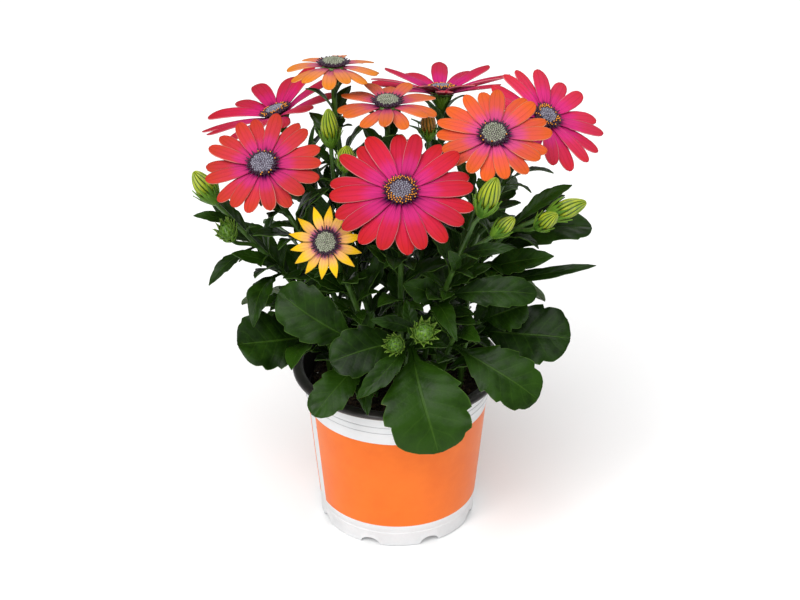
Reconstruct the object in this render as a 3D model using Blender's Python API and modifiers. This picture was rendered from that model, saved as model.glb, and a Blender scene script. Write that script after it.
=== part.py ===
# Osteospermum in its 12 cm nursery pot.
# Metres, +Z up. The origin is the centre of the pot's underside, and -Y is the front.

import math
import random

import bmesh
import bpy
from mathutils import Matrix, Vector

MM = 0.001

# Pot
RIM_R = 60.0
POT_H = 98.0
MOUTH_R = 53.6
COLLAR_R = 54.6
STEP_Z = 79.0
BAND_TOP_Z, BAND_TOP_R = 74.0, 51.5
BAND_LOW_Z, BAND_LOW_R = 14.5, 45.9
FOOT_R = 45.0
WALL = 1.2
FLOOR_Z = 5.4
RECESS_Z = 4.0
PAD_R, RECESS_R = 15.0, 30.0
CHANNELS = 8
CHANNEL_HALF_W, CHANNEL_H, CHANNEL_LENGTH = 6.0, 4.4, 30
CHANNEL_TURN = 24.6
DRAIN_R, DRAIN_RING_R = 3.5, 23.0
POT_SIDES = 24
POT_COLOURS = (
    ("pot_white", (0.86, 0.86, 0.85), 0.45),
    ("pot_inside", (0.05, 0.04, 0.04), 0.5),
    ("pot_band", (0.9, 0.3, 0.06), 0.4),
)

# Soil
SOIL_Z = 88.0
SOIL_RINGS = 3
SOIL_SIDES = 18
SOIL_LUMP, SOIL_FALL = 1.2, 0.02
HOLE_DEPTH = 9.0
HOLE_SIDES = 5
GAP = 0.3

# Blooms
HUB_R, HUB_T = 6.0, 1.2
PETAL_T = 0.6
LAYER_DROP = 1.0
LAYER_PITCH = 4.0
TURN_PLAY, ROOT_PLAY, TIP_PLAY, TWIST_PLAY = 2.5, 1, 5, 6
DISC_EDGE_H, DISC_DOME, DISC_DOME_POWER = 1.0, 1.9, 2.4
DISC_KNOB, DISC_FOOT = 0.7, 0.94
DISC_SIDES, DISC_RINGS = 12, 3
CALYX_TOP, CALYX_LOW = -LAYER_DROP - HUB_T / 2 - GAP, -9.5
CALYX_R = 5.6

# Leaves and stems
LEAF_T = 0.7
STEM_R, TWIG_R = 1.7, 1.2
STEM_ROWS, TWIG_ROWS = 5, 3
GOLDEN_ANGLE = 137.5
LEAF_OPEN_ANGLE = 62.0
SMALL_LEAF_WIDTH, SMALL_LEAF_SHRINK = 0.36, 0.45
SPREAD_Y = 40.0

# Outline of a ray: how far along, and its half width as a share of the widest
PETAL = ((0, 0.34), (0.36, 0.86), (0.8, 0.96), (1, 0.36))
# Outlines of the leaves, the broad one with its coarse teeth
LEAF_BROAD = ((0, 0.08), (0.18, 0.12), (0.38, 0.74), (0.45, 0.7), (0.64, 1.0), (0.87, 0.86), (1, 0.34))
LEAF_MIDDLE = ((0, 0.12), (0.22, 0.18), (0.5, 0.88), (0.58, 0.76), (0.76, 0.9), (1, 0.16))
LEAF_NARROW = ((0, 0.3), (0.4, 0.84), (0.74, 0.92), (1, 0.18))
# Each kind of leaf: its outline, its columns of faces and how far its sides fold up
LEAF_KINDS = {
    "broad": (LEAF_BROAD, 2, 0.1),
    "middle": (LEAF_MIDDLE, 2, 0.16),
    "narrow": (LEAF_NARROW, 1, 0.16),
}
LEAF_WAVE, LEAF_WAVES = 0.035, 11

# Each bloom: the centre of its face, the way it leans and how steeply it looks up (degrees), its radius,
# its number of rays and their width, their pitch at the root and at the tip, its disc, and its colour.
BLOOMS = {
    "red_front": dict(at=(2, -60, 235), lean=-90, lift=61, radius=38.4, rays=20, width=9.2,
                      pitch=(8, -2), turn=3, disc=8.4, colour=(0.75, 0.05, 0.12)),
    "scarlet_left": dict(at=(-70, -38, 240), lean=-100, lift=60, radius=31.5, rays=18, width=7.8,
                         pitch=(10, 2), turn=8, disc=7.6, colour=(0.82, 0.14, 0.08)),
    "crimson_back_left": dict(at=(-67, 40, 234), lean=170, lift=70, radius=44, rays=14, width=9.6,
                              pitch=(24, 4), turn=0, disc=7.8, colour=(0.6, 0.03, 0.14)),
    "orange_top": dict(at=(-34, 12, 275), lean=90, lift=86, radius=26, rays=14, width=7.4,
                       pitch=(8, -24), turn=5, disc=7.4, colour=(0.88, 0.28, 0.1)),
    "coral_middle": dict(at=(-5, -7, 261), lean=-80, lift=87, radius=28, rays=14, width=7.4,
                         pitch=(14, -14), turn=0, disc=7.2, colour=(0.86, 0.2, 0.12)),
    "crimson_back_right": dict(at=(25, 64, 237), lean=95, lift=76, radius=43, rays=14, width=9.6,
                               pitch=(26, 6), turn=9, disc=7.6, colour=(0.62, 0.03, 0.14)),
    "orange_right": dict(at=(51, -25, 251), lean=-92, lift=63, radius=31, rays=18, width=8.0,
                         pitch=(8, 0), turn=2, disc=7.8, colour=(0.88, 0.32, 0.1)),
    "pink_right": dict(at=(81, 17, 242), lean=-45, lift=57, radius=35, rays=16, width=8.6,
                       pitch=(10, -6), turn=6, disc=7.4, colour=(0.72, 0.05, 0.2)),
    "yellow_small": dict(at=(-37, -64, 208), lean=-92, lift=36, radius=20, rays=14, width=5.8,
                         pitch=(6, 0), turn=10, disc=6.6, colour=(0.9, 0.6, 0.1)),
}

# Each flower stalk: its hole in the soil, how stiffly it rises, how far it follows the bloom's axis,
# and its small leaves: how many, where the first and last stand, the turn of the first, and their length.
STALKS = {
    "red_front": dict(hole=(2, -20), rise=60, reach=26, leaves=(4, 0.3, 0.78, 200, 24)),
    "scarlet_left": dict(hole=(-22, -14), rise=64, reach=24, leaves=(4, 0.34, 0.84, 150, 24)),
    "crimson_back_left": dict(hole=(-22, 15), rise=56, reach=26, leaves=(4, 0.3, 0.84, 60, 26)),
    "orange_top": dict(hole=(-11, 4), rise=60, reach=60, leaves=(4, 0.3, 0.8, 20, 24)),
    "coral_middle": dict(hole=(1, -5), rise=60, reach=50, leaves=(4, 0.3, 0.82, 250, 22)),
    "crimson_back_right": dict(hole=(8, 22), rise=60, reach=44, leaves=(4, 0.3, 0.82, 40, 26)),
    "orange_right": dict(hole=(19, -12), rise=62, reach=26, leaves=(4, 0.34, 0.84, 300, 24)),
    "pink_right": dict(hole=(24, 9), rise=56, reach=34, leaves=(4, 0.34, 0.84, 10, 24)),
    "yellow_small": dict(hole=(-12, -22), rise=50, reach=20, leaves=(4, 0.4, 0.8, 240, 20)),
}

# Each leafy shoot or branch: its hole, where it ends and the way it points there, and its hand-placed
# leaves. A leaf has its place along the shoot, its tip, its width, its kind, its arch and its turn.
SHOOTS = {
    "shoot_left": dict(hole=(-34, -12), end=(-46, -32, 136), aim=(-0.5, -0.4, 0.6), leaves=(
        (0.9, (-86, -58, 143), 34, "broad", 0.06, 0),
        (0.8, (-57, -68, 135), 17, "middle", 0.1, 30),
        (0.6, (-84, -14, 124), 26, "broad", 0.12, 0))),
    "shoot_front_left": dict(hole=(-18, -34), end=(-18, -49, 138), aim=(-0.2, -0.5, 0.6), leaves=(
        (1.0, (-63, -46, 168), 30, "broad", 0.08, 0),
        (0.7, (-45, -76, 109), 21, "broad", 0.14, 0),
        (0.5, (-16, -77, 112), 12, "middle", 0.12, 0))),
    "shoot_front": dict(hole=(4, -38), end=(10, -56, 150), aim=(0.2, -0.4, 0.8), leaves=(
        (0.95, (-21, -86, 127), 14, "middle", 0.1, 0),
        (0.8, (22, -95, 99), 49, "broad", 0.14, 0),
        (0.86, (-35, -74, 142), 28, "broad", 0.08, 0),
        (1.0, (-12, -72, 166), 9, "narrow", 0.08, 0))),
    "shoot_right_front": dict(hole=(24, -32), end=(32, -46, 142), aim=(0.3, -0.3, 0.8), leaves=(
        (0.85, (76, -66, 114), 32, "broad", 0.12, 0),
        (1.0, (43, -70, 153), 10, "narrow", 0.08, 0))),
    "shoot_right": dict(hole=(36, -12), end=(46, -24, 138), aim=(0.5, -0.2, 0.7), leaves=(
        (0.85, (94, -40, 137), 36, "broad", 0.08, 0),
        (1.0, (71, -37, 156), 24, "broad", 0.08, 0),
        (0.6, (84, -2, 122), 24, "broad", 0.12, 0))),
    "shoot_back_right": dict(hole=(30, 26), end=(40, 38, 140), aim=(0.5, 0.4, 0.7), leaves=(
        (0.7, (86, 34, 122), 28, "broad", 0.12, 0),
        (0.86, (58, 82, 126), 28, "broad", 0.12, 0),
        (1.0, (76, 62, 156), 22, "broad", 0.08, 0),
        (0.7, (58, 54, 182), 20, "broad", 0.06, 180))),
    "shoot_back": dict(hole=(0, 38), end=(2, 54, 138), aim=(0, 0.5, 0.7), leaves=(
        (0.66, (-22, 92, 114), 30, "broad", 0.14, 0),
        (0.8, (24, 94, 124), 26, "broad", 0.12, 0),
        (1.0, (-2, 84, 156), 22, "broad", 0.08, 0),
        (0.6, (-16, 34, 178), 24, "broad", 0.1, 180),
        (0.9, (20, 74, 184), 22, "broad", 0.06, 180))),
    "shoot_back_left": dict(hole=(-33, 24), end=(-48, 28, 138), aim=(-0.5, 0.4, 0.7), leaves=(
        (0.66, (-90, 28, 120), 28, "broad", 0.12, 0),
        (0.84, (-62, 80, 126), 28, "broad", 0.12, 0),
        (1.0, (-76, 60, 158), 22, "broad", 0.08, 0),
        (0.7, (-64, 4, 170), 20, "broad", 0.06, 180))),
    "branch_left": dict(hole=(-38, 0), end=(-93, -22, 205), aim=(-0.6, 0.1, 0.7), leaves=(
        (0.62, (-77, -59, 158), 15, "middle", 0.14, 0),
        (0.8, (-101, -44, 173), 9, "middle", 0.1, 0),
        (0.66, (-89, -46, 192), 8, "narrow", 0.08, 0),
        (0.92, (-107, -34, 209), 7, "narrow", 0.08, 0),
        (0.5, (-92, 16, 182), 16, "middle", 0.12, 0),
        (0.72, (-104, 4, 206), 12, "middle", 0.1, 0))),
    "branch_left_middle": dict(hole=(-10, -9), end=(-35, -10, 230), aim=(-0.05, 0, 1), leaves=(
        (0.4, (-6, -34, 190), 11, "middle", 0.1, 0),
        (0.52, (-30, -30, 206), 9, "narrow", 0.1, 0),
        (0.64, (-50, -20, 222), 8, "narrow", 0.1, 0),
        (0.8, (-48, 0, 244), 7, "narrow", 0.08, 0))),
    "branch_middle": dict(hole=(9, 7), end=(17, 10, 222), aim=(0, 0, 1), leaves=(
        (0.4, (28, 22, 182), 12, "middle", 0.1, 0),
        (0.55, (4, 26, 208), 10, "narrow", 0.1, 0),
        (0.7, (34, 16, 232), 8, "narrow", 0.08, 0))),
    "branch_right_front": dict(hole=(13, -27), end=(40, -54, 214), aim=(0.3, -0.1, 0.9), leaves=(
        (0.6, (74, -54, 172), 18, "broad", 0.16, 0),
        (0.45, (31, -76, 157), 13, "middle", 0.3, 0),
        (0.55, (3, -62, 182), 17, "middle", 0.1, 0),
        (0.75, (26, -72, 208), 8, "narrow", 0.1, 0),
        (0.85, (60, -62, 204), 8, "narrow", 0.1, 0))),
    "branch_right": dict(hole=(38, 4), end=(75, -21, 199), aim=(0.8, 0, 0.3), leaves=(
        (0.62, (106, -10, 190), 24, "broad", 0.1, 0),
        (0.5, (107, -33, 178), 8, "narrow", 0.06, 0),
        (0.56, (84, -38, 186), 16, "middle", 0.1, 0),
        (0.84, (95, -3, 212), 10, "middle", 0.08, 0),
        (0.74, (92, 6, 202), 10, "narrow", 0.1, 0))),
}

# Each bud or young head: what carries it, where along it, its middle, its axis, its radius and its length.
BUDS = {
    "bud_left_tall": dict(on="branch_left_middle", t=1.0, at=(-36, -9, 250), aim=(-0.05, 0, 1),
                          r=5.2, length=17, colour=(0.5, 0.55, 0.12)),
    "bud_left_short": dict(on="branch_left_middle", t=0.7, at=(-27, -22, 238), aim=(0.1, -0.3, 1),
                           r=5.2, length=12, colour=(0.5, 0.58, 0.12)),
    "bud_brown_middle": dict(on="branch_middle", t=0.72, at=(2, -20, 243), aim=(0, -0.3, 1),
                             r=4.6, length=14, colour=(0.5, 0.24, 0.08)),
    "bud_brown_right": dict(on="branch_middle", t=1.0, at=(17, 10, 243), aim=(0, 0, 1),
                            r=4.6, length=14, colour=(0.55, 0.22, 0.08)),
    "bud_front_right": dict(on="branch_right_front", t=1.0, at=(48, -57, 233), aim=(0.3, -0.1, 0.9),
                            r=6.2, length=18, colour=(0.55, 0.6, 0.1)),
    "bud_green_right": dict(on="branch_right_front", t=0.8, at=(57, -50, 211), aim=(0.7, 0.1, 0.6),
                            r=4.6, length=11, colour=(0.2, 0.36, 0.06)),
    "bud_right_near": dict(on="branch_right", t=0.86, at=(80, -42, 210), aim=(0.5, -0.4, 0.6),
                           r=4.8, length=13, colour=(0.45, 0.5, 0.12)),
    "bud_right_far": dict(on="branch_right", t=1.0, at=(93, -22, 207), aim=(0.9, 0, 0.35),
                          r=5.8, length=17, colour=(0.5, 0.5, 0.14)),
    "bud_far_left": dict(on="branch_left", t=1.0, at=(-104, -21, 221), aim=(-0.5, 0.1, 0.8),
                         r=6.0, length=15, colour=(0.5, 0.6, 0.12)),
}
HEADS = {
    "head_left": dict(on="branch_left", t=0.78, at=(-90, -42, 203), aim=(-0.2, -0.5, 0.8), r=4.4),
    "head_front": dict(on="shoot_front", t=0.94, at=(14, -78, 162), aim=(0.1, -0.8, 0.6), r=5.2),
    "head_front_small": dict(on="shoot_front", t=0.8, at=(-1, -72, 151), aim=(-0.3, -0.8, 0.5), r=4.2),
}
BUD_SIDES, BUD_RINGS = 8, 5
BUD_RIDGE, BUD_BELLY, BUD_TAPER = 0.14, 1.12, 0.42
HEAD_SPIKES = 6
SPIKE_LOW, SPIKE_RAISED = 62, 44
SPIKE_R, SPIKE_TIP_R, SPIKE_LENGTH = 0.34, 0.06, 1.1
SEED = 11


def clear_scene():
    for old in list(bpy.data.objects):
        bpy.data.objects.remove(old, do_unlink=True)


def new_collection(name):
    made = bpy.data.collections.new(name)
    bpy.context.scene.collection.children.link(made)
    return made


def material(name, colour, roughness):
    made = bpy.data.materials.new(name)
    made.use_nodes = True
    shader = made.node_tree.nodes["Principled BSDF"]
    shader.inputs["Base Color"].default_value = (*colour, 1)
    shader.inputs["Roughness"].default_value = roughness
    made.diffuse_color = (*colour, 1)
    return made


def add(mesh, name, group):
    made = bpy.data.objects.new(name, mesh)
    group.objects.link(made)
    return made


def finish_mesh(cage, name):
    """The cage as a mesh in metres."""
    bmesh.ops.scale(cage, vec=(MM, MM, MM), verts=cage.verts)
    mesh = bpy.data.meshes.new(name)
    cage.to_mesh(mesh)
    cage.free()
    return mesh


def evaluated_mesh(obj):
    bpy.context.view_layer.update()
    graph = bpy.context.evaluated_depsgraph_get()
    return bpy.data.meshes.new_from_object(obj.evaluated_get(graph))


def keep_one_body(mesh):
    """Fills what a union sealed off and drops loose scraps: only the largest closed surface stays."""
    cage = bmesh.new()
    cage.from_mesh(mesh)
    left = set(cage.verts)
    shells = []
    while left:
        shell = set()
        front = [left.pop()]
        while front:
            vert = front.pop()
            shell.add(vert)
            near = {edge.other_vert(vert) for edge in vert.link_edges} & left
            left -= near
            front += near
        shells.append(shell)
    largest = max(shells, key=len)
    spare = [vert for shell in shells if shell is not largest for vert in shell]
    bmesh.ops.delete(cage, geom=spare, context="VERTS")
    cage.to_mesh(mesh)
    cage.free()


def fuse(name, pieces, group, colour, roughness, angle=40):
    """One body from meshes that overlap, by one union on a collection."""
    body = add(pieces[0], name, group)
    others = new_collection("to_fuse")
    for index, mesh in enumerate(pieces[1:]):
        add(mesh, f"{name}_piece_{index}", others)
    union = body.modifiers.new("union", "BOOLEAN")
    union.operation = "UNION"
    union.operand_type = "COLLECTION"
    union.collection = others
    union.solver = "EXACT"
    mesh = evaluated_mesh(body)
    body.modifiers.clear()
    body.data = mesh
    for old in list(others.objects):
        bpy.data.objects.remove(old, do_unlink=True)
    bpy.data.collections.remove(others)
    keep_one_body(mesh)
    mesh.materials.clear()
    mesh.materials.append(material(name, colour, roughness))
    mesh.shade_smooth()
    mesh.set_sharp_from_angle(angle=math.radians(angle))
    return body


def turned(name, profile, group, steps):
    """A turned solid from (radius, height) points."""
    mesh = bpy.data.meshes.new(name)
    points = [(r * MM, 0, z * MM) for r, z in profile]
    mesh.from_pydata(points, [(i, i + 1) for i in range(len(points) - 1)], [])
    made = add(mesh, name, group)
    screw = made.modifiers.new("turn", "SCREW")
    screw.steps = steps
    screw.render_steps = steps
    screw.use_merge_vertices = True
    screw.merge_threshold = 0.00005
    return made


def cylinder(name, radius, low, high, group, sides):
    cage = bmesh.new()
    bmesh.ops.create_cone(cage, cap_ends=True, segments=sides, radius1=radius, radius2=radius,
                          depth=high - low, matrix=Matrix.Translation((0, 0, (high + low) / 2)))
    return add(finish_mesh(cage, name), name, group)


def lean(point, direction):
    """The frame at a point whose Z axis has the given direction."""
    turn = Vector(direction).normalized().to_track_quat("Z", "Y")
    return Matrix.Translation(point) @ turn.to_matrix().to_4x4()


def facing(bloom):
    across, up = math.radians(bloom["lean"]), math.radians(bloom["lift"])
    return Vector((math.cos(up) * math.cos(across), math.cos(up) * math.sin(across), math.sin(up)))


def blade(name, outline, columns, place, thickness):
    """A thin closed blade: place(s, c) gives its surface along its length and across it, and the outline
    gives the rows."""
    cage = bmesh.new()
    rows = len(outline) - 1
    bmesh.ops.create_grid(cage, x_segments=columns, y_segments=rows, size=1)
    for vert in cage.verts:
        along, half = outline[round((vert.co.y + 1) / 2 * rows)]
        vert.co = place(along, vert.co.x * half)
    bmesh.ops.triangulate(cage, faces=cage.faces)
    bmesh.ops.solidify(cage, geom=cage.faces, thickness=thickness)
    bmesh.ops.recalc_face_normals(cage, faces=cage.faces)
    return finish_mesh(cage, name)


def arc(share, start, end):
    """How far along and up a strip of length 1 has come, as its pitch turns from start to end (degrees)."""
    first, last = math.radians(start), math.radians(end)
    if abs(last - first) < 0.001:
        last = first + 0.001
    here = first + (last - first) * share
    turn = last - first
    return (math.sin(here) - math.sin(first)) / turn, (math.cos(first) - math.cos(here)) / turn


def petal_list(bloom, seed):
    """Each ray of a bloom: its turn, length, width, pitch at the root and at the tip, twist and layer."""
    draw = random.Random(seed)
    rays = []
    for index in range(bloom["rays"]):
        lower = index % 2
        turn = bloom["turn"] + index * 360 / bloom["rays"] + draw.uniform(-TURN_PLAY, TURN_PLAY)
        length = (bloom["radius"] - HUB_R) * draw.uniform(0.93, 1.0)
        width = bloom["width"] * draw.uniform(0.92, 1.04)
        start = bloom["pitch"][0] - LAYER_PITCH * lower + draw.uniform(-ROOT_PLAY, ROOT_PLAY)
        end = bloom["pitch"][1] - LAYER_PITCH * lower + draw.uniform(-TIP_PLAY, TIP_PLAY)
        rays.append((turn, length, width, start, end, draw.uniform(-TWIST_PLAY, TWIST_PLAY), lower))
    return rays


def petal_point(ray, along, across, level):
    """A point of a ray in its bloom's frame: along it, across it, and on its upper or lower face."""
    turn, length, width, start, end, twist, lower = ray
    out, up = arc(along, start, end)
    pitch = math.radians(start + (end - start) * along)
    side = across * width / 2
    roll = math.radians(twist) * along
    lift = level * PETAL_T / 2
    radius = HUB_R + length * out - lift * math.sin(pitch)
    height = length * up - LAYER_DROP * lower + side * math.sin(roll) + lift * math.cos(pitch)
    return Matrix.Rotation(math.radians(turn), 4, "Z") @ Vector((radius, side * math.cos(roll), height))


def ray_layer(name, rays, frame):
    """One layer of rays: a plate whose sides are drawn out, row by row, into the rays."""
    cage = bmesh.new()
    count = len(rays)
    drop = Matrix.Translation((0, 0, -LAYER_DROP * rays[0][6]))
    bmesh.ops.create_cone(cage, cap_ends=True, segments=count, radius1=HUB_R, radius2=HUB_R,
                          depth=HUB_T, matrix=drop)
    cage.normal_update()
    sides = [face for face in cage.faces if abs(face.normal.z) < 0.5]
    start = math.radians(rays[0][0]) - math.atan2(sides[0].normal.y, sides[0].normal.x)
    bmesh.ops.rotate(cage, cent=(0, 0, 0), matrix=Matrix.Rotation(start, 3, "Z"), verts=cage.verts)
    cage.normal_update()
    for ray in rays:
        ahead = Vector((math.cos(math.radians(ray[0])), math.sin(math.radians(ray[0])), 0))
        face = max(sides, key=lambda each: each.normal.dot(ahead))
        sides.remove(face)
        across = Vector((-ahead.y, ahead.x, 0))
        middle = face.calc_center_median()
        corners = [(math.copysign(1, (vert.co - middle).dot(across)),
                    math.copysign(1, vert.co.z - middle.z)) for vert in face.verts]
        for along, half in PETAL[1:]:
            face = bmesh.ops.extrude_discrete_faces(cage, faces=[face])["faces"][0]
            for vert, (side, level) in zip(face.verts, corners):
                vert.co = petal_point(ray, along, side * half, level)
    bmesh.ops.transform(cage, matrix=frame, verts=cage.verts)
    bmesh.ops.recalc_face_normals(cage, faces=cage.faces)
    return finish_mesh(cage, name)


def make_rays(name, bloom, seed, group):
    frame = lean(bloom["at"], facing(bloom))
    rays = petal_list(bloom, seed)
    layers = [ray_layer("layer", [ray for ray in rays if ray[6] == lower], frame) for lower in (0, 1)]
    fuse("rays_" + name, layers, group, bloom["colour"], 0.5)


def make_disc(name, bloom, group):
    """The dome of florets: knobs larger than life, in rings."""
    cage = bmesh.new()
    sides, rings = DISC_SIDES, DISC_RINGS
    radius = bloom["disc"]
    slope = math.tan(math.radians(bloom["pitch"][0] + 2))
    low = HUB_T / 2 + GAP + (radius - HUB_R) * slope
    bmesh.ops.create_uvsphere(cage, u_segments=sides, v_segments=rings * 2, radius=1)
    flat = [vert for vert in cage.verts if vert.co.z < -0.01]
    bmesh.ops.delete(cage, geom=flat, context="VERTS")
    for vert in cage.verts:
        reach = math.hypot(vert.co.x, vert.co.y)
        ring = round(math.asin(min(1, reach)) / (math.pi / 2) * rings)
        side = round(math.atan2(vert.co.y, vert.co.x) / (2 * math.pi / sides))
        knob = DISC_KNOB * ((side + ring) % 2) * (ring > 0)
        dome = DISC_DOME * (1 - reach ** DISC_DOME_POWER)
        vert.co = (vert.co.x * radius, vert.co.y * radius, low + DISC_EDGE_H + dome + knob)
    rim = [edge for edge in cage.edges if edge.is_boundary]
    made = bmesh.ops.extrude_edge_only(cage, edges=rim)
    for vert in made["geom"]:
        if isinstance(vert, bmesh.types.BMVert):
            vert.co = (vert.co.x * DISC_FOOT, vert.co.y * DISC_FOOT, low)
    bmesh.ops.contextual_create(cage, geom=[e for e in cage.edges if e.is_boundary])
    bmesh.ops.recalc_face_normals(cage, faces=cage.faces)
    bmesh.ops.transform(cage, matrix=lean(bloom["at"], facing(bloom)), verts=cage.verts)
    mesh = finish_mesh(cage, name)
    mesh.materials.append(material("disc_" + name, (0.3, 0.3, 0.32), 0.7))
    add(mesh, "disc_" + name, group)


def bezier(points, t):
    a, b, c, d = points
    u = 1 - t
    return a * u ** 3 + b * (3 * u * u * t) + c * (3 * u * t * t) + d * t ** 3


def stem_spot(path, share):
    """A point on the straight-sided stem, which what grows from it starts at."""
    row = min(int(share * STEM_ROWS), STEM_ROWS - 1)
    low, high = bezier(path, row / STEM_ROWS), bezier(path, (row + 1) / STEM_ROWS)
    return low.lerp(high, share * STEM_ROWS - row)


def stalk_path(stalk, bloom):
    """A flower stalk's curve, from the soil to the calyx."""
    low = Vector((*stalk["hole"], SOIL_Z))
    axis = facing(bloom)
    top = Vector(bloom["at"]) + axis * CALYX_LOW
    return low, low + Vector((0, 0, stalk["rise"])), top - axis * stalk["reach"], top


def shoot_path(shoot):
    low = Vector((*shoot["hole"], SOIL_Z))
    end = Vector(shoot["end"])
    reach = (end - low).length * 0.36
    aim = Vector(shoot["aim"]).normalized()
    return low, low + Vector((0, 0, reach)), end - aim * reach, end


def tube(name, points, radii):
    """A round stem through points, as a closed mesh."""
    curve = bpy.data.curves.new(name, "CURVE")
    curve.dimensions = "3D"
    curve.bevel_depth = MM
    curve.bevel_resolution = 1
    curve.use_fill_caps = True
    line = curve.splines.new("POLY")
    line.points.add(len(points) - 1)
    for spot, point, radius in zip(line.points, points, radii):
        spot.co = (*(Vector(point) * MM), 1)
        spot.radius = radius
    guide = bpy.data.objects.new(name, curve)
    bpy.context.scene.collection.objects.link(guide)
    mesh = evaluated_mesh(guide)
    bpy.data.objects.remove(guide, do_unlink=True)
    cage = bmesh.new()
    cage.from_mesh(mesh)
    bmesh.ops.remove_doubles(cage, verts=cage.verts, dist=0.00001)
    bmesh.ops.recalc_face_normals(cage, faces=cage.faces)
    cage.to_mesh(mesh)
    cage.free()
    return mesh


def stem_line(path, thin):
    """The stem's points and radii, from the bottom of its hole."""
    points = [path[0] - Vector((0, 0, HOLE_DEPTH - GAP))]
    points += [bezier(path, index / STEM_ROWS) for index in range(STEM_ROWS + 1)]
    last = len(points) - 1
    radii = [STEM_R + (thin - STEM_R) * index / last for index in range(len(points))]
    return points, radii


def leaf(name, base, tip, width, kind, arch, turn, hint):
    """A leaf from its base on the stem to its tip. The hint is the way that its upper side looks."""
    outline, columns, fold = LEAF_KINDS[kind]
    base, tip = Vector(base), Vector(tip)
    run = tip - base
    ahead = run.normalized()
    upper = (hint - ahead * hint.dot(ahead)).normalized()
    upper = Matrix.Rotation(math.radians(turn), 3, ahead) @ upper
    side = ahead.cross(upper)

    def place(along, across):
        rise = arch * run.length * 4 * along * (1 - along) + fold * abs(across) * width
        if kind == "broad":
            rise += LEAF_WAVE * width * math.sin(along * LEAF_WAVES) * across
        return base + run * along + side * (across * width / 2) + upper * rise

    return blade(name, outline, columns, place, LEAF_T)


def outward(point):
    """The way that a leaf looks: up, away from the pot's middle, and forwards or back by where it is."""
    flat = Vector((point[0], point[1], 0)).normalized()
    front = max(-1, min(1, point[1] / SPREAD_Y))
    return flat * 0.6 + Vector((0, front * 0.9, 1))


def small_leaves(name, path, leaves):
    """Leaves round a stalk, each a golden angle on from the last, and shorter towards the top."""
    count, first, last, start, length = leaves
    made = []
    for index in range(count):
        t = first + (last - first) * index / (count - 1)
        base = stem_spot(path, t)
        ahead = (bezier(path, t + 0.01) - bezier(path, t)).normalized()
        turn = math.radians(start + index * GOLDEN_ANGLE)
        away = Matrix.Rotation(turn, 3, ahead) @ ahead.orthogonal().normalized()
        open_angle = math.radians(LEAF_OPEN_ANGLE)
        reach = length * (1 - SMALL_LEAF_SHRINK * index / count)
        tip = base + (away * math.sin(open_angle) + ahead * math.cos(open_angle)) * reach
        width = reach * SMALL_LEAF_WIDTH
        made.append(leaf(f"{name}_{index}", base, tip, width, "narrow", 0.1, 0, ahead))
    return made


def bud_foot(bud):
    """Where a bud's cup has its top."""
    return Vector(bud["at"]) - Vector(bud["aim"]).normalized() * (bud["length"] / 2 + GAP)


def bud_twig(name, path, bud):
    """The twig from the branch to a bud, widening into the cup under it."""
    aim = Vector(bud["aim"]).normalized()
    low = stem_spot(path, bud["t"])
    end = bud_foot(bud) - aim * bud["r"]
    reach = (end - low).length * 0.4
    ahead = (bezier(path, bud["t"]) - bezier(path, bud["t"] - 0.02)).normalized()
    way = (low - ahead * 1.5, low + ahead * reach, end - aim * reach, end)
    points = [bezier(way, index / TWIG_ROWS) for index in range(TWIG_ROWS + 1)] + [bud_foot(bud)]
    return tube(name, points, [TWIG_R] * (TWIG_ROWS + 1) + [bud["r"] * 0.8])


def make_bud(name, bud, group):
    """A closed bud: rolled rays as ridges, pointed at the tip."""
    cage = bmesh.new()
    bmesh.ops.create_uvsphere(cage, u_segments=BUD_SIDES, v_segments=BUD_RINGS, radius=1)
    for vert in cage.verts:
        side = round(math.atan2(vert.co.y, vert.co.x) / (2 * math.pi / BUD_SIDES))
        height = (vert.co.z + 1) / 2
        ridge = 1 - BUD_RIDGE * (side % 2)
        belly = bud["r"] * (BUD_BELLY - BUD_TAPER * height) * ridge
        vert.co = (vert.co.x * belly, vert.co.y * belly, (height - 0.5) * bud["length"])
    bmesh.ops.transform(cage, matrix=lean(bud["at"], bud["aim"]), verts=cage.verts)
    mesh = finish_mesh(cage, name)
    mesh.materials.append(material(name, bud["colour"], 0.6))
    mesh.shade_smooth()
    add(mesh, name, group)


def make_head(name, head, group):
    """A young green head: a ball of bracts with their tips standing out."""
    frame = lean(head["at"], head["aim"])
    cage = bmesh.new()
    bmesh.ops.create_icosphere(cage, subdivisions=1, radius=head["r"], matrix=frame)
    pieces = [finish_mesh(cage, "core")]
    for index in range(HEAD_SPIKES):
        turn = math.radians(index * GOLDEN_ANGLE)
        slope = math.radians(SPIKE_LOW - SPIKE_RAISED * (index / HEAD_SPIKES))
        way = Vector((math.sin(slope) * math.cos(turn), math.sin(slope) * math.sin(turn), math.cos(slope)))
        spike = bmesh.new()
        length = head["r"] * SPIKE_LENGTH
        local = lean(way * head["r"] / 2, way) @ Matrix.Translation((0, 0, length / 2))
        bmesh.ops.create_cone(spike, cap_ends=True, segments=3, radius1=head["r"] * SPIKE_R,
                              radius2=head["r"] * SPIKE_TIP_R, depth=length, matrix=frame @ local)
        pieces.append(finish_mesh(spike, "spike"))
    fuse(name, pieces, group, (0.2, 0.38, 0.08), 0.6, angle=30)


def carried(name):
    """The buds and heads that a branch carries."""
    heads = [dict(head, length=head["r"] * 2) for head in HEADS.values()]
    return [bud for bud in (*BUDS.values(), *heads) if bud["on"] == name]


def make_stalk(name, group):
    stalk, bloom = STALKS[name], BLOOMS[name]
    path = stalk_path(stalk, bloom)
    points, radii = stem_line(path, STEM_R * 0.9)
    points.append(Vector(bloom["at"]) + facing(bloom) * CALYX_TOP)
    radii.append(CALYX_R)
    pieces = [tube("stalk", points, radii)] + small_leaves("leaf", path, stalk["leaves"])
    fuse("stalk_" + name, pieces, group, (0.07, 0.16, 0.04), 0.5)


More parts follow.
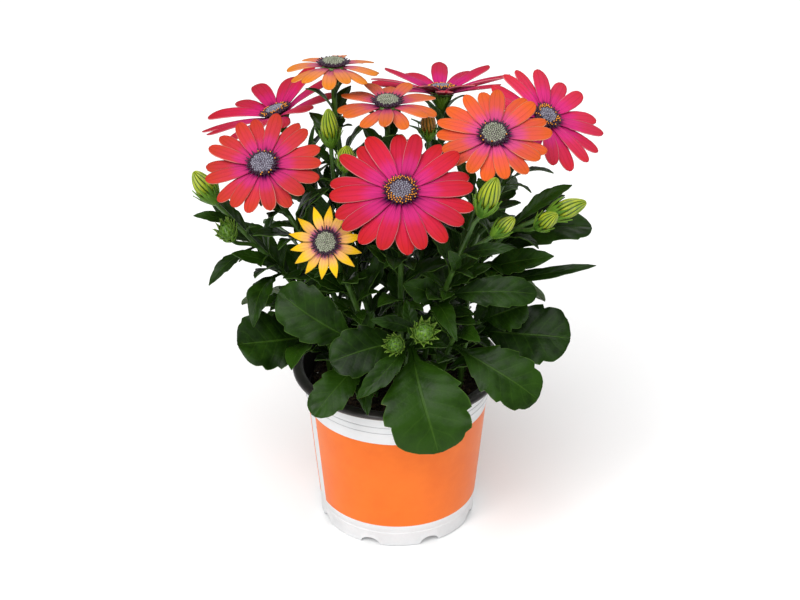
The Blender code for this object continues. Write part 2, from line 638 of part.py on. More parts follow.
def make_shoot(name, group):
    shoot = SHOOTS[name]
    path = shoot_path(shoot)
    pieces = [tube("stem", *stem_line(path, TWIG_R))]
    for index, (t, tip, width, kind, arch, turn) in enumerate(shoot["leaves"]):
        pieces.append(leaf(f"leaf_{index}", stem_spot(path, t), tip, width, kind, arch, turn, outward(tip)))
    for bud in carried(name):
        pieces.append(bud_twig("twig", path, bud))
    fuse(name, pieces, group, (0.05, 0.13, 0.03), 0.45)


def make_pot(group, cutters):
    """The thin wall with its rolled lip, collar and foot. Channels under the foot lead to the drain holes."""
    inner = COLLAR_R - WALL
    profile = (
        (0, FLOOR_Z), (FOOT_R - WALL, FLOOR_Z), (BAND_TOP_R - WALL, STEP_Z), (inner - 1.4, STEP_Z + 1.5),
        (inner, POT_H - 4), (MOUTH_R, POT_H - 1.2), (MOUTH_R + 0.8, POT_H), (RIM_R - 1.2, POT_H - 0.2),
        (RIM_R, POT_H - 1.6), (RIM_R - 0.8, POT_H - 3.6), (COLLAR_R + 0.2, POT_H - 4),
        (COLLAR_R - 1.8, STEP_Z + 1.2), (BAND_TOP_R + 0.3, STEP_Z), (BAND_TOP_R, BAND_TOP_Z),
        (BAND_LOW_R, BAND_LOW_Z), (FOOT_R + 0.5, 9.5), (FOOT_R, 8.6), (FOOT_R, 1.2), (FOOT_R - 1, 0),
        (RECESS_R, 0), (RECESS_R, RECESS_Z), (PAD_R, RECESS_Z), (PAD_R, 0), (0, 0))
    pot = turned("pot", profile, group, POT_SIDES)
    for index in range(CHANNELS):
        around = math.radians(CHANNEL_TURN + index * 360 / CHANNELS)
        cage = bmesh.new()
        bmesh.ops.create_cone(cage, cap_ends=True, segments=8, radius1=1, radius2=1,
                              depth=CHANNEL_LENGTH)
        bmesh.ops.scale(cage, vec=(CHANNEL_H, CHANNEL_HALF_W, 1), verts=cage.verts)
        bmesh.ops.rotate(cage, cent=(0, 0, 0), verts=cage.verts, matrix=Matrix.Rotation(math.pi / 2, 3, "Y"))
        bmesh.ops.translate(cage, vec=(RECESS_R - 2 + CHANNEL_LENGTH / 2, 0, 0), verts=cage.verts)
        bmesh.ops.rotate(cage, cent=(0, 0, 0), verts=cage.verts, matrix=Matrix.Rotation(around, 3, "Z"))
        add(finish_mesh(cage, "channel"), f"channel_{index}", cutters)
        if index % 2:
            continue
        hole = cylinder(f"drain_{index}", DRAIN_R, -1, FLOOR_Z + 1, cutters, 8)
        hole.location = (DRAIN_RING_R * MM * math.cos(around), DRAIN_RING_R * MM * math.sin(around), 0)
    cut = pot.modifiers.new("channels", "BOOLEAN")
    cut.operation = "DIFFERENCE"
    cut.operand_type = "COLLECTION"
    cut.collection = cutters
    cut.solver = "EXACT"
    mesh = evaluated_mesh(pot)
    pot.modifiers.clear()
    pot.data = mesh
    mesh.materials.clear()
    for part, colour, rough in POT_COLOURS:
        mesh.materials.append(material(part, colour, rough))
    for face in mesh.polygons:
        reach = math.hypot(face.center.x, face.center.y) / MM
        height = face.center.z / MM
        outer = face.normal.x * face.center.x + face.normal.y * face.center.y > 0
        if outer and BAND_LOW_Z < height < BAND_TOP_Z and reach > BAND_LOW_R - 0.8:
            face.material_index = 2
        elif (not outer and height > FLOOR_Z - 0.1) or height > POT_H - 3.5:
            face.material_index = 1
    mesh.shade_smooth()
    mesh.set_sharp_from_angle(angle=math.radians(35))


def make_soil(group, cutters, holes):
    """The peat: lumpy on top, clear of the wall, with a plain hole for each stem."""
    draw = random.Random(SEED)
    high_r = MOUTH_R - WALL - 3
    profile = [(high_r * index / SOIL_RINGS, SOIL_Z + 1.5) for index in range(SOIL_RINGS)]
    profile += [(high_r, SOIL_Z), (BAND_TOP_R - WALL - 2 * GAP, STEP_Z - 1),
                (FOOT_R - WALL - 2.5 * GAP, FLOOR_Z + GAP), (0, FLOOR_Z + GAP)]
    guide = turned("soil_guide", profile, group, SOIL_SIDES)
    mesh = evaluated_mesh(guide)
    bpy.data.objects.remove(guide, do_unlink=True)
    for vert in mesh.vertices:
        reach = math.hypot(vert.co.x, vert.co.y)
        if vert.co.z > (SOIL_Z + 1) * MM:
            vert.co.z += draw.uniform(-SOIL_LUMP, SOIL_LUMP) * MM - reach * SOIL_FALL
    soil = add(mesh, "soil", group)
    for index, (x, y, radius) in enumerate(holes):
        hole = cylinder(f"stem_hole_{index}", radius, SOIL_Z - HOLE_DEPTH, SOIL_Z + 8, cutters, HOLE_SIDES)
        hole.location = (x * MM, y * MM, 0)
    cut = soil.modifiers.new("stem_holes", "BOOLEAN")
    cut.operation = "DIFFERENCE"
    cut.operand_type = "COLLECTION"
    cut.collection = cutters
    cut.solver = "EXACT"
    soil.data = evaluated_mesh(soil)
    soil.modifiers.clear()
    soil.data.materials.clear()
    soil.data.materials.append(material("soil", (0.05, 0.035, 0.025), 0.95))


def main():
    clear_scene()
    group = new_collection("osteospermum")
    pot_cutters = new_collection("pot_cutters")
    soil_cutters = new_collection("soil_cutters")
    make_pot(group, pot_cutters)
    holes = [(*item["hole"], STEM_R + 0.6) for item in (*STALKS.values(), *SHOOTS.values())]
    make_soil(group, soil_cutters, holes)
    for seed, (name, bloom) in enumerate(BLOOMS.items()):
        make_rays(name, bloom, SEED + seed, group)
        make_disc(name, bloom, group)
        make_stalk(name, group)
    for name in SHOOTS:
        make_shoot(name, group)
    for name, bud in BUDS.items():
        make_bud(name, bud, group)
    for name, head in HEADS.items():
        make_head(name, head, group)
    for cutters in (pot_cutters, soil_cutters):
        for cutter in cutters.objects:
            cutter.hide_render = True
            cutter.display_type = "WIRE"


main()
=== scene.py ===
import math
import random

import bpy
import numpy as np
from mathutils import Matrix, Vector


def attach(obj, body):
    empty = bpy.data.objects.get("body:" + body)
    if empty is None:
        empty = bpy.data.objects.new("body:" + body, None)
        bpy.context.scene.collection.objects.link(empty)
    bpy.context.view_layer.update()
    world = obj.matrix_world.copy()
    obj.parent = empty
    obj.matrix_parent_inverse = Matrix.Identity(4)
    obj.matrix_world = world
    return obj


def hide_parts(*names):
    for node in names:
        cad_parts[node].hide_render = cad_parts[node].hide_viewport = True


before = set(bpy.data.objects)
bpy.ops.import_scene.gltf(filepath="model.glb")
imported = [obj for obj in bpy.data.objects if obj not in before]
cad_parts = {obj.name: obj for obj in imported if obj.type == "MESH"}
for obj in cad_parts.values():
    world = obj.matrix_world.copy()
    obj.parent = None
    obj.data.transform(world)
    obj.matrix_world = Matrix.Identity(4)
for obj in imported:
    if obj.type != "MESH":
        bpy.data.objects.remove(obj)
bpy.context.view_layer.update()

mm = 0.001
seed = 11
goldenAngle = math.radians(137.5)

studio = {
    "cameraAt": (0, -1.0064, 0.7036), "cameraAim": (0.0016, 0, 0.1378), "lens": 92.25, "sensor": 36,
    "floorSize": 8, "floorDrop": 0.0003, "floorColour": (0.97, 0.97, 0.97, 1), "floorRoughness": 0.7,
    "skyStrength": 0.4,
    "lights": (
        # name, kind, place, aim, strength, size (the sun's is an angle)
        ("sunLight", "SUN", (-0.16, -1.0, 1.5), (0, 0, 0), 2.45, math.radians(60)),
        ("keyLight", "AREA", (-0.6, -0.9, 1.1), (0, 0, 0.15), 5, 0.4),
        ("backLight", "AREA", (0.5, 0.9, 0.9), (0, 0, 0.15), 3, 0.5)),
}


def aimAt(obj, target):
    obj.rotation_mode = "QUATERNION"
    obj.rotation_quaternion = (Vector(target) - obj.location).to_track_quat("-Z", "Y")


def setUpStudio():
    bpy.ops.object.camera_add(location=studio["cameraAt"])
    camera = bpy.context.object
    aimAt(camera, studio["cameraAim"])
    camera.data.lens = studio["lens"]
    camera.data.sensor_width = studio["sensor"]
    bpy.context.scene.camera = camera
    for name, kind, at, aim, strength, size in studio["lights"]:
        bpy.ops.object.light_add(type=kind, location=at)
        light = bpy.context.object
        light.name = name
        light.data.energy = strength
        setattr(light.data, "angle" if kind == "SUN" else "size", size)
        aimAt(light, aim)
    world = bpy.data.worlds.new("studioSky")
    world.use_nodes = True
    sky = world.node_tree.nodes["Background"].inputs
    sky["Color"].default_value = (1, 1, 1, 1)
    sky["Strength"].default_value = studio["skyStrength"]
    bpy.context.scene.world = world
    bpy.context.scene.view_settings.view_transform = "Standard"
    bpy.ops.mesh.primitive_plane_add(size=studio["floorSize"], location=(0, 0, -studio["floorDrop"]))
    floor = bpy.context.object
    floor.name = "studioFloor"
    paint, _, shader = newPaint("floorPaint", studio["floorRoughness"])
    shader.inputs["Base Color"].default_value = studio["floorColour"]
    floor.data.materials.append(paint)


# Moves an object's own placing into its mesh.
def atOrigin(obj):
    obj.data.transform(obj.matrix_world)
    obj.matrix_world = Matrix.Identity(4)
    return obj


def deselectAll():
    if bpy.context.mode != "OBJECT":
        bpy.ops.object.mode_set(mode="OBJECT")
    bpy.ops.object.select_all(action="DESELECT")


def pick(obj):
    deselectAll()
    obj.select_set(True)
    bpy.context.view_layer.objects.active = obj
    return obj


def copyOf(model, name):
    made = model.copy()
    made.data = model.data.copy()
    made.name = name
    bpy.context.scene.collection.objects.link(made)
    return made


def joined(parts, name):
    deselectAll()
    for part in parts:
        part.select_set(True)
    bpy.context.view_layer.objects.active = parts[0]
    if len(parts) > 1:
        bpy.ops.object.join()
    parts[0].name = name
    return parts[0]


def applied(obj, kind, **settings):
    pick(obj)
    modifier = obj.modifiers.new(kind.lower(), kind)
    for name, value in settings.items():
        setattr(modifier, name, value)
    bpy.ops.object.modifier_apply(modifier=modifier.name)


def smooth(obj, degrees):
    pick(obj)
    bpy.ops.object.shade_smooth_by_angle(angle=math.radians(degrees))


def paintWith(obj, *paints):
    obj.data.materials.clear()
    for paint in paints:
        obj.data.materials.append(paint)
    return obj


# A copy of a model, moved by a matrix in millimetres.
def placed(model, name, matrix, *finishes):
    made = copyOf(model, name)
    made.data.transform(matrix)
    return paintWith(made, *finishes) if finishes else made


# Turns a piece in millimetres into its place, smooths it and lets it replace its node.
def finished(obj, nodeName, degrees, matrix=Matrix.Identity(4)):
    obj.data.transform(Matrix.Scale(mm, 4) @ matrix)
    smooth(obj, degrees)
    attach(obj, "root")
    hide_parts(nodeName)


# A closed form of rings (radius, height) in millimetres, extruded from a filled circle.
def turnedForm(rings, sides):
    deselectAll()
    radius, height = rings[0]
    bpy.ops.mesh.primitive_circle_add(vertices=sides, radius=radius, location=(0, 0, height),
                                      fill_type="NGON")
    bpy.ops.object.mode_set(mode="EDIT")
    bpy.ops.mesh.select_all(action="SELECT")
    for nextRadius, nextHeight in rings[1:]:
        bpy.ops.mesh.extrude_region_move(TRANSFORM_OT_translate={"value": (0, 0, nextHeight - height)})
        share = nextRadius / radius
        bpy.ops.transform.resize(value=(share, share, 1), center_override=(0, 0, nextHeight))
        radius, height = nextRadius, nextHeight
    bpy.ops.mesh.select_all(action="SELECT")
    bpy.ops.mesh.normals_make_consistent(inside=False)
    bpy.ops.object.mode_set(mode="OBJECT")
    return atOrigin(bpy.context.object)


# The model of every ray, leaf and bract: a flat strip with its own UV map.
def flatStrip(columns, rows):
    deselectAll()
    bpy.ops.mesh.primitive_grid_add(x_subdivisions=columns, y_subdivisions=rows, size=1)
    return bpy.context.object


# A copy of the strip, its points moved by place(along, across), in millimetres.
def shapedStrip(model, name, place, index):
    made = copyOf(model, name)
    mesh = made.data
    flat = np.empty(len(mesh.vertices) * 3, np.float32)
    mesh.vertices.foreach_get("co", flat)
    flat = flat.reshape(-1, 3)
    points = [place(float(y) + 0.5, float(x) * 2) for x, y, _ in flat]
    mesh.vertices.foreach_set("co", np.array(points, np.float32).ravel())
    layer = mesh.uv_layers[0].data
    uv = np.empty(len(layer) * 2, np.float32)
    layer.foreach_get("uv", uv)
    uv[0::2] = uv[0::2] * 0.998 + 0.001 + index
    layer.foreach_set("uv", uv)
    return made


# Reads a value from (place, value) points, eased over a big step.
def easedAlong(points, share):
    for (a, low), (b, high) in zip(points, points[1:]):
        if share <= b:
            t = (share - a) / (b - a)
            if abs(high - low) > 0.35:
                t *= t * (3 - 2 * t)
            return low + (high - low) * t
    return points[-1][1]


def outAt(around):
    return Vector((math.cos(around), math.sin(around), 0))


def bezierAt(path, t):
    a, b, c, d = path
    u = 1 - t
    return a * u ** 3 + b * (3 * u * u * t) + c * (3 * u * t * t) + d * t ** 3


def onwards(path, t):
    return (bezierAt(path, t + 0.01) - bezierAt(path, t)).normalized()


# A direction square to another, at a turn round it.
def sideways(ahead, turn):
    return Matrix.Rotation(turn, 3, ahead) @ ahead.orthogonal().normalized()


# The upright form, moved to a point and leaned to a direction.
def leanTo(point, direction):
    turn = Vector(direction).normalized().to_track_quat("Z", "Y")
    return Matrix.Translation(point) @ turn.to_matrix().to_4x4()


def put(tree, kind, sockets=None, **settings):
    node = tree.nodes.new(kind)
    for name, value in settings.items():
        setattr(node, name, value)
    for key, value in (sockets or {}).items():
        if isinstance(value, bpy.types.NodeSocket):
            tree.links.new(value, node.inputs[key])
        else:
            node.inputs[key].default_value = value
    return node


def calc(tree, operation, *values):
    return put(tree, "ShaderNodeMath", dict(enumerate(values)), operation=operation).outputs[0]


def times(tree, first, second):
    return calc(tree, "MULTIPLY", first, second)


def scaled(tree, value, by, added):
    return calc(tree, "MULTIPLY_ADD", value, by, added)


def remaining(tree, value):
    return calc(tree, "SUBTRACT", 1, value)


def blended(tree, amount, first, second, blend="MIX"):
    return put(tree, "ShaderNodeMix", {0: amount, 6: first, 7: second},
               data_type="RGBA", blend_type=blend).outputs[2]


# 0 below low, 1 above high.
def stepped(tree, value, low, high):
    return put(tree, "ShaderNodeMapRange", {0: value, 1: low, 2: high},
               interpolation_type="SMOOTHSTEP").outputs[0]


def noise(tree, where, scale, detail, roughness=0.5):
    sockets = {"Vector": where, "Scale": scale, "Detail": detail, "Roughness": roughness}
    return put(tree, "ShaderNodeTexNoise", sockets).outputs[0]


def objectPlace(tree):
    return put(tree, "ShaderNodeTexCoord").outputs["Object"]


def solid(colour):
    return (*colour, 1)


# The output named Colour is a colour, the others are numbers.
def newGroup(name, colours, numbers, outputs):
    tree = bpy.data.node_groups.new(name, "ShaderNodeTree")
    for way, labels in (("INPUT", (*colours, *numbers)), ("OUTPUT", outputs)):
        for label in labels:
            isColour = label in colours or label == "Colour"
            tree.interface.new_socket(name=label, in_out=way,
                                      socket_type="NodeSocketColor" if isColour else "NodeSocketFloat")
    return tree, tree.nodes.new("NodeGroupInput").outputs, tree.nodes.new("NodeGroupOutput").inputs


# Adds a group, its inputs set in their order, and returns its outputs.
def groupNode(tree, group, *values):
    node = put(tree, "ShaderNodeGroup", node_tree=group)
    for socket, value in zip(node.inputs, values):
        socket.default_value = solid(value) if isinstance(value, tuple) else value
    return node.outputs


def sendOut(tree, made, **values):
    for label, value in values.items():
        tree.links.new(value, made[label])


# Reads a strip's UV map: how far along and across, how near its edge, and a number of its own.
def stripGroup():
    tree, given, made = newGroup("stripPlace", (), (), ("Along", "Edge", "Own", "Across"))
    parts = put(tree, "ShaderNodeSeparateXYZ", {0: put(tree, "ShaderNodeUVMap").outputs[0]}).outputs
    across = calc(tree, "FRACT", parts[0])
    edge = calc(tree, "ABSOLUTE", scaled(tree, across, 2, -1))
    own = put(tree, "ShaderNodeTexWhiteNoise", {"W": calc(tree, "FLOOR", parts[0])}, noise_dimensions="1D")
    sendOut(tree, made, Along=parts[1], Edge=edge, Own=own.outputs[0], Across=across)
    return tree


# Noise drawn out along a strip.
def fineLines(tree, place, count, length):
    spot = put(tree, "ShaderNodeCombineXYZ", {0: times(tree, place["Across"], count),
                                              1: times(tree, place["Along"], length),
                                              2: times(tree, place["Own"], 37)}).outputs[0]
    return noise(tree, spot, 1, 3, 0.6)


rayLook = {
    # fine and broad lines: count across and along; steps: from, to; shares of 1
    "fine": (26, 1.6), "broad": (5, 1.2), "edgeBend": 0.1, "drift": 0.3, "ownDrift": 0.12,
    "rootStep": (0.04, 0.24), "tipBlend": 0.4, "grooves": 3, "grooveSharp": 14,
    "veinStep": (0.48, 0.62), "veinEnd": (0.1, 0.55), "veinShare": 0.5,
    # rim: the pale edge, partly the ray's own margin and mostly painted highlight
    "rimStep": (0.91, 1.0), "rimHighlightStart": (0.2, 0.5), "rimShare": 0.42,
    "specular": 0.1, "bump": (0.35, 0.7),
}


# A ray's colour from its dark root to its tip, its fine lines, and its pale edge, which is partly the ray's
# own paler margin and mostly painted highlight where light catches the edge.
def rayGroup(strip):
    look = rayLook
    tree, given, made = newGroup("rayFinish", ("Root", "Throat", "Middle", "Tip", "Rim"), ("Reach",),
                                 ("Colour", "Height", "Roughness"))
    place = groupNode(tree, strip)
    along, edge, reach = place["Along"], place["Edge"], given["Reach"]
    lines, broad = fineLines(tree, place, *look["fine"]), fineLines(tree, place, *look["broad"])
    shift = scaled(tree, calc(tree, "POWER", edge, 3), look["edgeBend"], along)
    for value, share in ((broad, look["drift"]), (place["Own"], look["ownDrift"])):
        shift = calc(tree, "ADD", shift, scaled(tree, value, share, -share / 2))
    far = calc(tree, "ADD", reach, look["tipBlend"])
    colour = blended(tree, stepped(tree, shift, *look["rootStep"]), given["Root"], given["Throat"])
    colour = blended(tree, stepped(tree, shift, times(tree, reach, 0.5), reach), colour, given["Middle"])
    colour = blended(tree, stepped(tree, shift, reach, far), colour, given["Tip"])
    # dark lines run out from the root, and two grooves run the whole length, darkened a little as painted
    # shade
    wave = calc(tree, "COSINE", times(tree, place["Across"], look["grooves"] * math.pi))
    groove = calc(tree, "POWER", calc(tree, "ABSOLUTE", wave), look["grooveSharp"])
    veins = times(tree, stepped(tree, lines, *look["veinStep"]),
                  remaining(tree, stepped(tree, along, *look["veinEnd"])))
    colour = blended(tree, times(tree, veins, look["veinShare"]), colour, given["Root"])
    # the fine lines and each ray's own tone, with painted shade along the grooves
    toneAndGrooveShade = times(tree, scaled(tree, lines, 0.4, 0.8), scaled(tree, groove, -0.12, 1))
    toneAndGrooveShade = times(tree, toneAndGrooveShade, scaled(tree, place["Own"], 0.2, 0.9))
    grey = put(tree, "ShaderNodeCombineColor", {0: toneAndGrooveShade, 1: toneAndGrooveShade, 2: toneAndGrooveShade}).outputs[0]
    colour = blended(tree, 1, colour, grey, "MULTIPLY")
    # the pale edge: partly the ray's own margin, mostly a painted highlight where light catches it
    rim = times(tree, stepped(tree, edge, *look["rimStep"]), look["rimShare"])
    rim = times(tree, rim, stepped(tree, along, *look["rimHighlightStart"]))
    colour = blended(tree, rim, colour, given["Rim"])
    height = calc(tree, "SUBTRACT", times(tree, lines, 0.6), times(tree, groove, 0.5))
    sendOut(tree, made, Colour=colour, Height=height, Roughness=scaled(tree, lines, 0.2, 0.5))
    return tree


leafLook = {
    # noise scales, steps (from, to), the midrib's narrowing and width, shares of 1
    "blotch": 90, "grain": 900, "toneStep": (0.1, 1.1), "veinClimb": 1.7, "veinWander": 0.35,
    "veinStep": (0.015, 0.085), "veinEnd": (0.5, 0.95), "rib": (-0.055, 0.08), "rimStep": (0.955, 0.995),
    "veinShare": 0.1, "ribShare": 0.34, "rimShare": 0.55, "specular": 0.13, "bump": (0.55, 0.6),
}


# A leaf's blotches, pale midrib, side veins and thin pale edge.
def leafGroup(strip):
    look = leafLook
    tree, given, made = newGroup("leafFinish", ("Dark", "Light", "Rib", "Rim"), ("Veins", "Depth"),
                                 ("Colour", "Height", "Roughness"))
    place = groupNode(tree, strip)
    along, edge = place["Along"], place["Edge"]
    where = objectPlace(tree)
    blotch, grain = noise(tree, where, look["blotch"], 4, 0.6), noise(tree, where, look["grain"], 2)
    tone = scaled(tree, place["Own"], 0.55, scaled(tree, blotch, 1.5, -0.6))
    tone = scaled(tree, along, 0.3, tone)
    colour = blended(tree, stepped(tree, tone, *look["toneStep"]), given["Dark"], given["Light"])
    # side veins climb from the midrib towards the edge
    climb = calc(tree, "SUBTRACT", times(tree, along, given["Veins"]),
                 times(tree, calc(tree, "POWER", edge, 0.8), look["veinClimb"]))
    climb = calc(tree, "FRACT", scaled(tree, blotch, look["veinWander"], climb))
    near = calc(tree, "ABSOLUTE", calc(tree, "SUBTRACT", climb, 0.5))
    vein = remaining(tree, stepped(tree, near, *look["veinStep"]))
    vein = times(tree, vein, remaining(tree, stepped(tree, edge, *look["veinEnd"])))
    ribWidth = scaled(tree, along, *look["rib"])
    rib = remaining(tree, stepped(tree, edge, times(tree, ribWidth, 0.4), ribWidth))
    rim = stepped(tree, edge, *look["rimStep"])
    for amount, label, tint in ((vein, "vein", "Rib"), (rib, "rib", "Rib"), (rim, "rim", "Rim")):
        colour = blended(tree, times(tree, amount, look[label + "Share"]), colour, given[tint])
    pucker = scaled(tree, blotch, 1.6, times(tree, stepped(tree, near, 0, 0.5), 0.35))
    height = scaled(tree, grain, 0.15, calc(tree, "SUBTRACT", pucker, times(tree, rib, 0.5)))
    sendOut(tree, made, Colour=colour, Height=times(tree, height, given["Depth"]),
            Roughness=scaled(tree, blotch, 0.28, 0.26))
    return tree


# Two colours in clouds.
def mottleGroup():
    tree, given, made = newGroup("mottle", ("First", "Second"), ("Scale", "Stretch", "Sharp"),
                                 ("Colour", "Height"))
    stretch = put(tree, "ShaderNodeCombineXYZ", {0: 1, 1: 1, 2: given["Stretch"]}).outputs[0]
    where = put(tree, "ShaderNodeVectorMath", {0: objectPlace(tree), 1: stretch},
                operation="MULTIPLY").outputs[0]
    cloud = noise(tree, where, given["Scale"], 5, 0.65)
    low, high = calc(tree, "SUBTRACT", 0.5, given["Sharp"]), calc(tree, "ADD", 0.5, given["Sharp"])
    colour = blended(tree, stepped(tree, cloud, low, high), given["First"], given["Second"])
    sendOut(tree, made, Colour=colour, Height=cloud)
    return tree


# Scattered small specks of many sizes.
def speckGroup():
    tree, given, made = newGroup("specks", (), ("Scale", "Size", "Share"), ("Mask",))
    cells = put(tree, "ShaderNodeTexVoronoi", {"Vector": objectPlace(tree), "Scale": given["Scale"]}).outputs
    own = put(tree, "ShaderNodeSeparateColor", {0: cells["Color"]}).outputs
    size = times(tree, given["Size"], calc(tree, "POWER", own[1], 2))
    spot = calc(tree, "LESS_THAN", cells["Distance"], size)
    kept = calc(tree, "LESS_THAN", own[0], given["Share"])
    sendOut(tree, made, Mask=times(tree, spot, kept))
    return tree


def newPaint(name, roughness=0.5, specular=0.5):
    made = bpy.data.materials.new(name)
    made.use_nodes = True
    tree = made.node_tree
    shader = tree.nodes["Principled BSDF"]
    shader.inputs["Roughness"].default_value = roughness
    shader.inputs["Specular IOR Level"].default_value = specular
    return made, tree, shader


def bumped(tree, shader, height, distance, strength):
    bump = put(tree, "ShaderNodeBump", {"Height": height, "Distance": distance * mm, "Strength": strength})
    tree.links.new(bump.outputs[0], shader.inputs["Normal"])


def finishWith(tree, shader, finish, distance, strength):
    tree.links.new(finish["Colour"], shader.inputs["Base Color"])
    if "Roughness" in finish:
        tree.links.new(finish["Roughness"], shader.inputs["Roughness"])
    bumped(tree, shader, finish["Height"], distance, strength)


rayColours = {
    # root, throat, middle, tip, rim (the pale edge, mostly painted highlight), underside, reach
    "red_front": ((0.04, 0.0, 0.04), (0.57, 0.022, 0.165), (0.505, 0.014, 0.044), (0.45, 0.012, 0.014),
                  (0.95, 0.46, 0.46), (0.3, 0.008, 0.03), 0.62),
    "scarlet_left": ((0.05, 0.0, 0.05), (0.58, 0.03, 0.165), (0.53, 0.033, 0.045), (0.49, 0.036, 0.019),
                     (0.95, 0.5, 0.4), (0.32, 0.03, 0.02), 0.56),
    "crimson_back_left": ((0.035, 0.0, 0.035), (0.58, 0.014, 0.14), (0.5, 0.013, 0.05), (0.44, 0.01, 0.023),
                          (0.85, 0.34, 0.38), (0.24, 0.004, 0.02), 0.6),
    "orange_top": ((0.08, 0.01, 0.07), (0.54, 0.12, 0.18), (0.64, 0.2, 0.075), (0.66, 0.2, 0.016),
                   (0.85, 0.42, 0.2), (0.5, 0.12, 0.012), 0.56),
    "coral_middle": ((0.08, 0.01, 0.07), (0.54, 0.07, 0.14), (0.62, 0.12, 0.062), (0.63, 0.13, 0.018),
                     (0.95, 0.55, 0.4), (0.42, 0.08, 0.02), 0.52),
    "crimson_back_right": ((0.035, 0.0, 0.04), (0.58, 0.014, 0.165), (0.5, 0.013, 0.06), (0.44, 0.011, 0.027),
                           (0.85, 0.34, 0.38), (0.24, 0.004, 0.02), 0.62),
    "orange_right": ((0.06, 0.0, 0.08), (0.66, 0.07, 0.21), (0.66, 0.085, 0.05), (0.65, 0.1, 0.016),
                     (0.97, 0.55, 0.34), (0.5, 0.09, 0.012), 0.56),
    "pink_right": ((0.045, 0.0, 0.045), (0.66, 0.025, 0.19), (0.6, 0.024, 0.075), (0.57, 0.022, 0.036),
                   (0.95, 0.46, 0.5), (0.28, 0.006, 0.03), 0.64),
    "yellow_small": ((0.3, 0.03, 0.19), (0.62, 0.21, 0.22), (0.78, 0.41, 0.12), (0.8, 0.48, 0.008),
                     (0.85, 0.6, 0.15), (0.5, 0.26, 0.012), 0.36),
}
leafColours = {
    # dark, light, rib, rim, side veins, depth
    "leafTop": ((0.003, 0.011, 0.0006), (0.017, 0.053, 0.0022), (0.055, 0.125, 0.012), (0.07, 0.14, 0.02),
                8, 1.0),
    "leafUnder": ((0.018, 0.046, 0.01), (0.045, 0.098, 0.02), (0.1, 0.19, 0.045), (0.15, 0.25, 0.06), 8, 1.0),
    "smallLeaf": ((0.004, 0.016, 0.0008), (0.022, 0.064, 0.003), (0.07, 0.155, 0.015), (0.09, 0.18, 0.03),
                  5, 1.0),
    "bract": ((0.045, 0.13, 0.01), (0.14, 0.28, 0.02), (0.25, 0.4, 0.05), (0.32, 0.42, 0.1), 1, 0.3),
}
mottledPaints = {
    # first, second, scale, roughness, stretch, depth, specular
    "stem": ((0.022, 0.065, 0.006), (0.07, 0.16, 0.018), 260, 0.42, 0.12, 0.25, 0.5),
    "cup": ((0.07, 0.16, 0.025), (0.15, 0.28, 0.05), 220, 0.45, 0.3, 0.3, 0.5),
    "budYoung": ((0.17, 0.27, 0.006), (0.38, 0.44, 0.012), 240, 0.42, 0.3, 0.3, 0.5),
    "budBrown": ((0.3, 0.12, 0.006), (0.5, 0.22, 0.01), 240, 0.42, 0.3, 0.3, 0.5),
    "floretGrey": ((0.09, 0.085, 0.12), (0.36, 0.35, 0.42), 700, 0.6, 1, 0.3, 0.5),
    "floretGreen": ((0.13, 0.15, 0.09), (0.38, 0.4, 0.3), 700, 0.6, 1, 0.3, 0.5),
    "floretDark": ((0.012, 0.004, 0.012), (0.05, 0.012, 0.04), 600, 0.5, 1, 0.3, 0.5),
    "pollen": ((0.7, 0.2, 0.01), (0.95, 0.42, 0.02), 900, 0.75, 1, 0.3, 0.5),
    "peat": ((0.006, 0.004, 0.003), (0.035, 0.022, 0.014), 420, 0.95, 1, 1.2, 0.2),
    "peatCrumb": ((0.012, 0.007, 0.004), (0.06, 0.036, 0.02), 500, 0.95, 1, 0.8, 0.2),
    "perlite": ((0.45, 0.42, 0.38), (0.8, 0.78, 0.72), 500, 0.8, 1, 0.3, 0.5),
    "potInside": ((0.018, 0.015, 0.014), (0.035, 0.03, 0.028), 60, 0.42, 1, 0.15, 0.5),
    "potBead": ((0.55, 0.52, 0.46), (0.72, 0.69, 0.62), 90, 0.4, 1, 0.3, 0.5),
}
mottleUse = {"sharp": 0.2, "strength": 0.8}
budGrooves = {"budYoung": (0.02, 0.065, 0.004), "budBrown": (0.05, 0.06, 0.006)}
underShares = (0.4, 1, 1.1, 1.3)  # a ray's underside from root to tip
underReach = 0.5
potLook = {
    "plain": ((0.68, 0.69, 0.7), (0.78, 0.79, 0.8), 26, 1, 0.25),
    "orange": ((0.8, 0.14, 0.006), (0.88, 0.175, 0.01), 34, 1, 0.25),
    "bandLow": 14.5, "bandHigh": 74, "gapTurn": -1.235, "gapHalf": 0.1,
    "dirt": (150, 0.16, 0.1), "dirtShare": 0.45, "dirtColour": (0.12, 0.09, 0.06),
    # the creases: thin grey lines of painted shade along the collar's two creases, heights in millimetres
    "creaseShadeLevels": (86, 82), "creaseShadeHalf": 0.3, "creaseShadeShare": 0.4, "creaseShadeColour": (0.3, 0.3, 0.31),
}
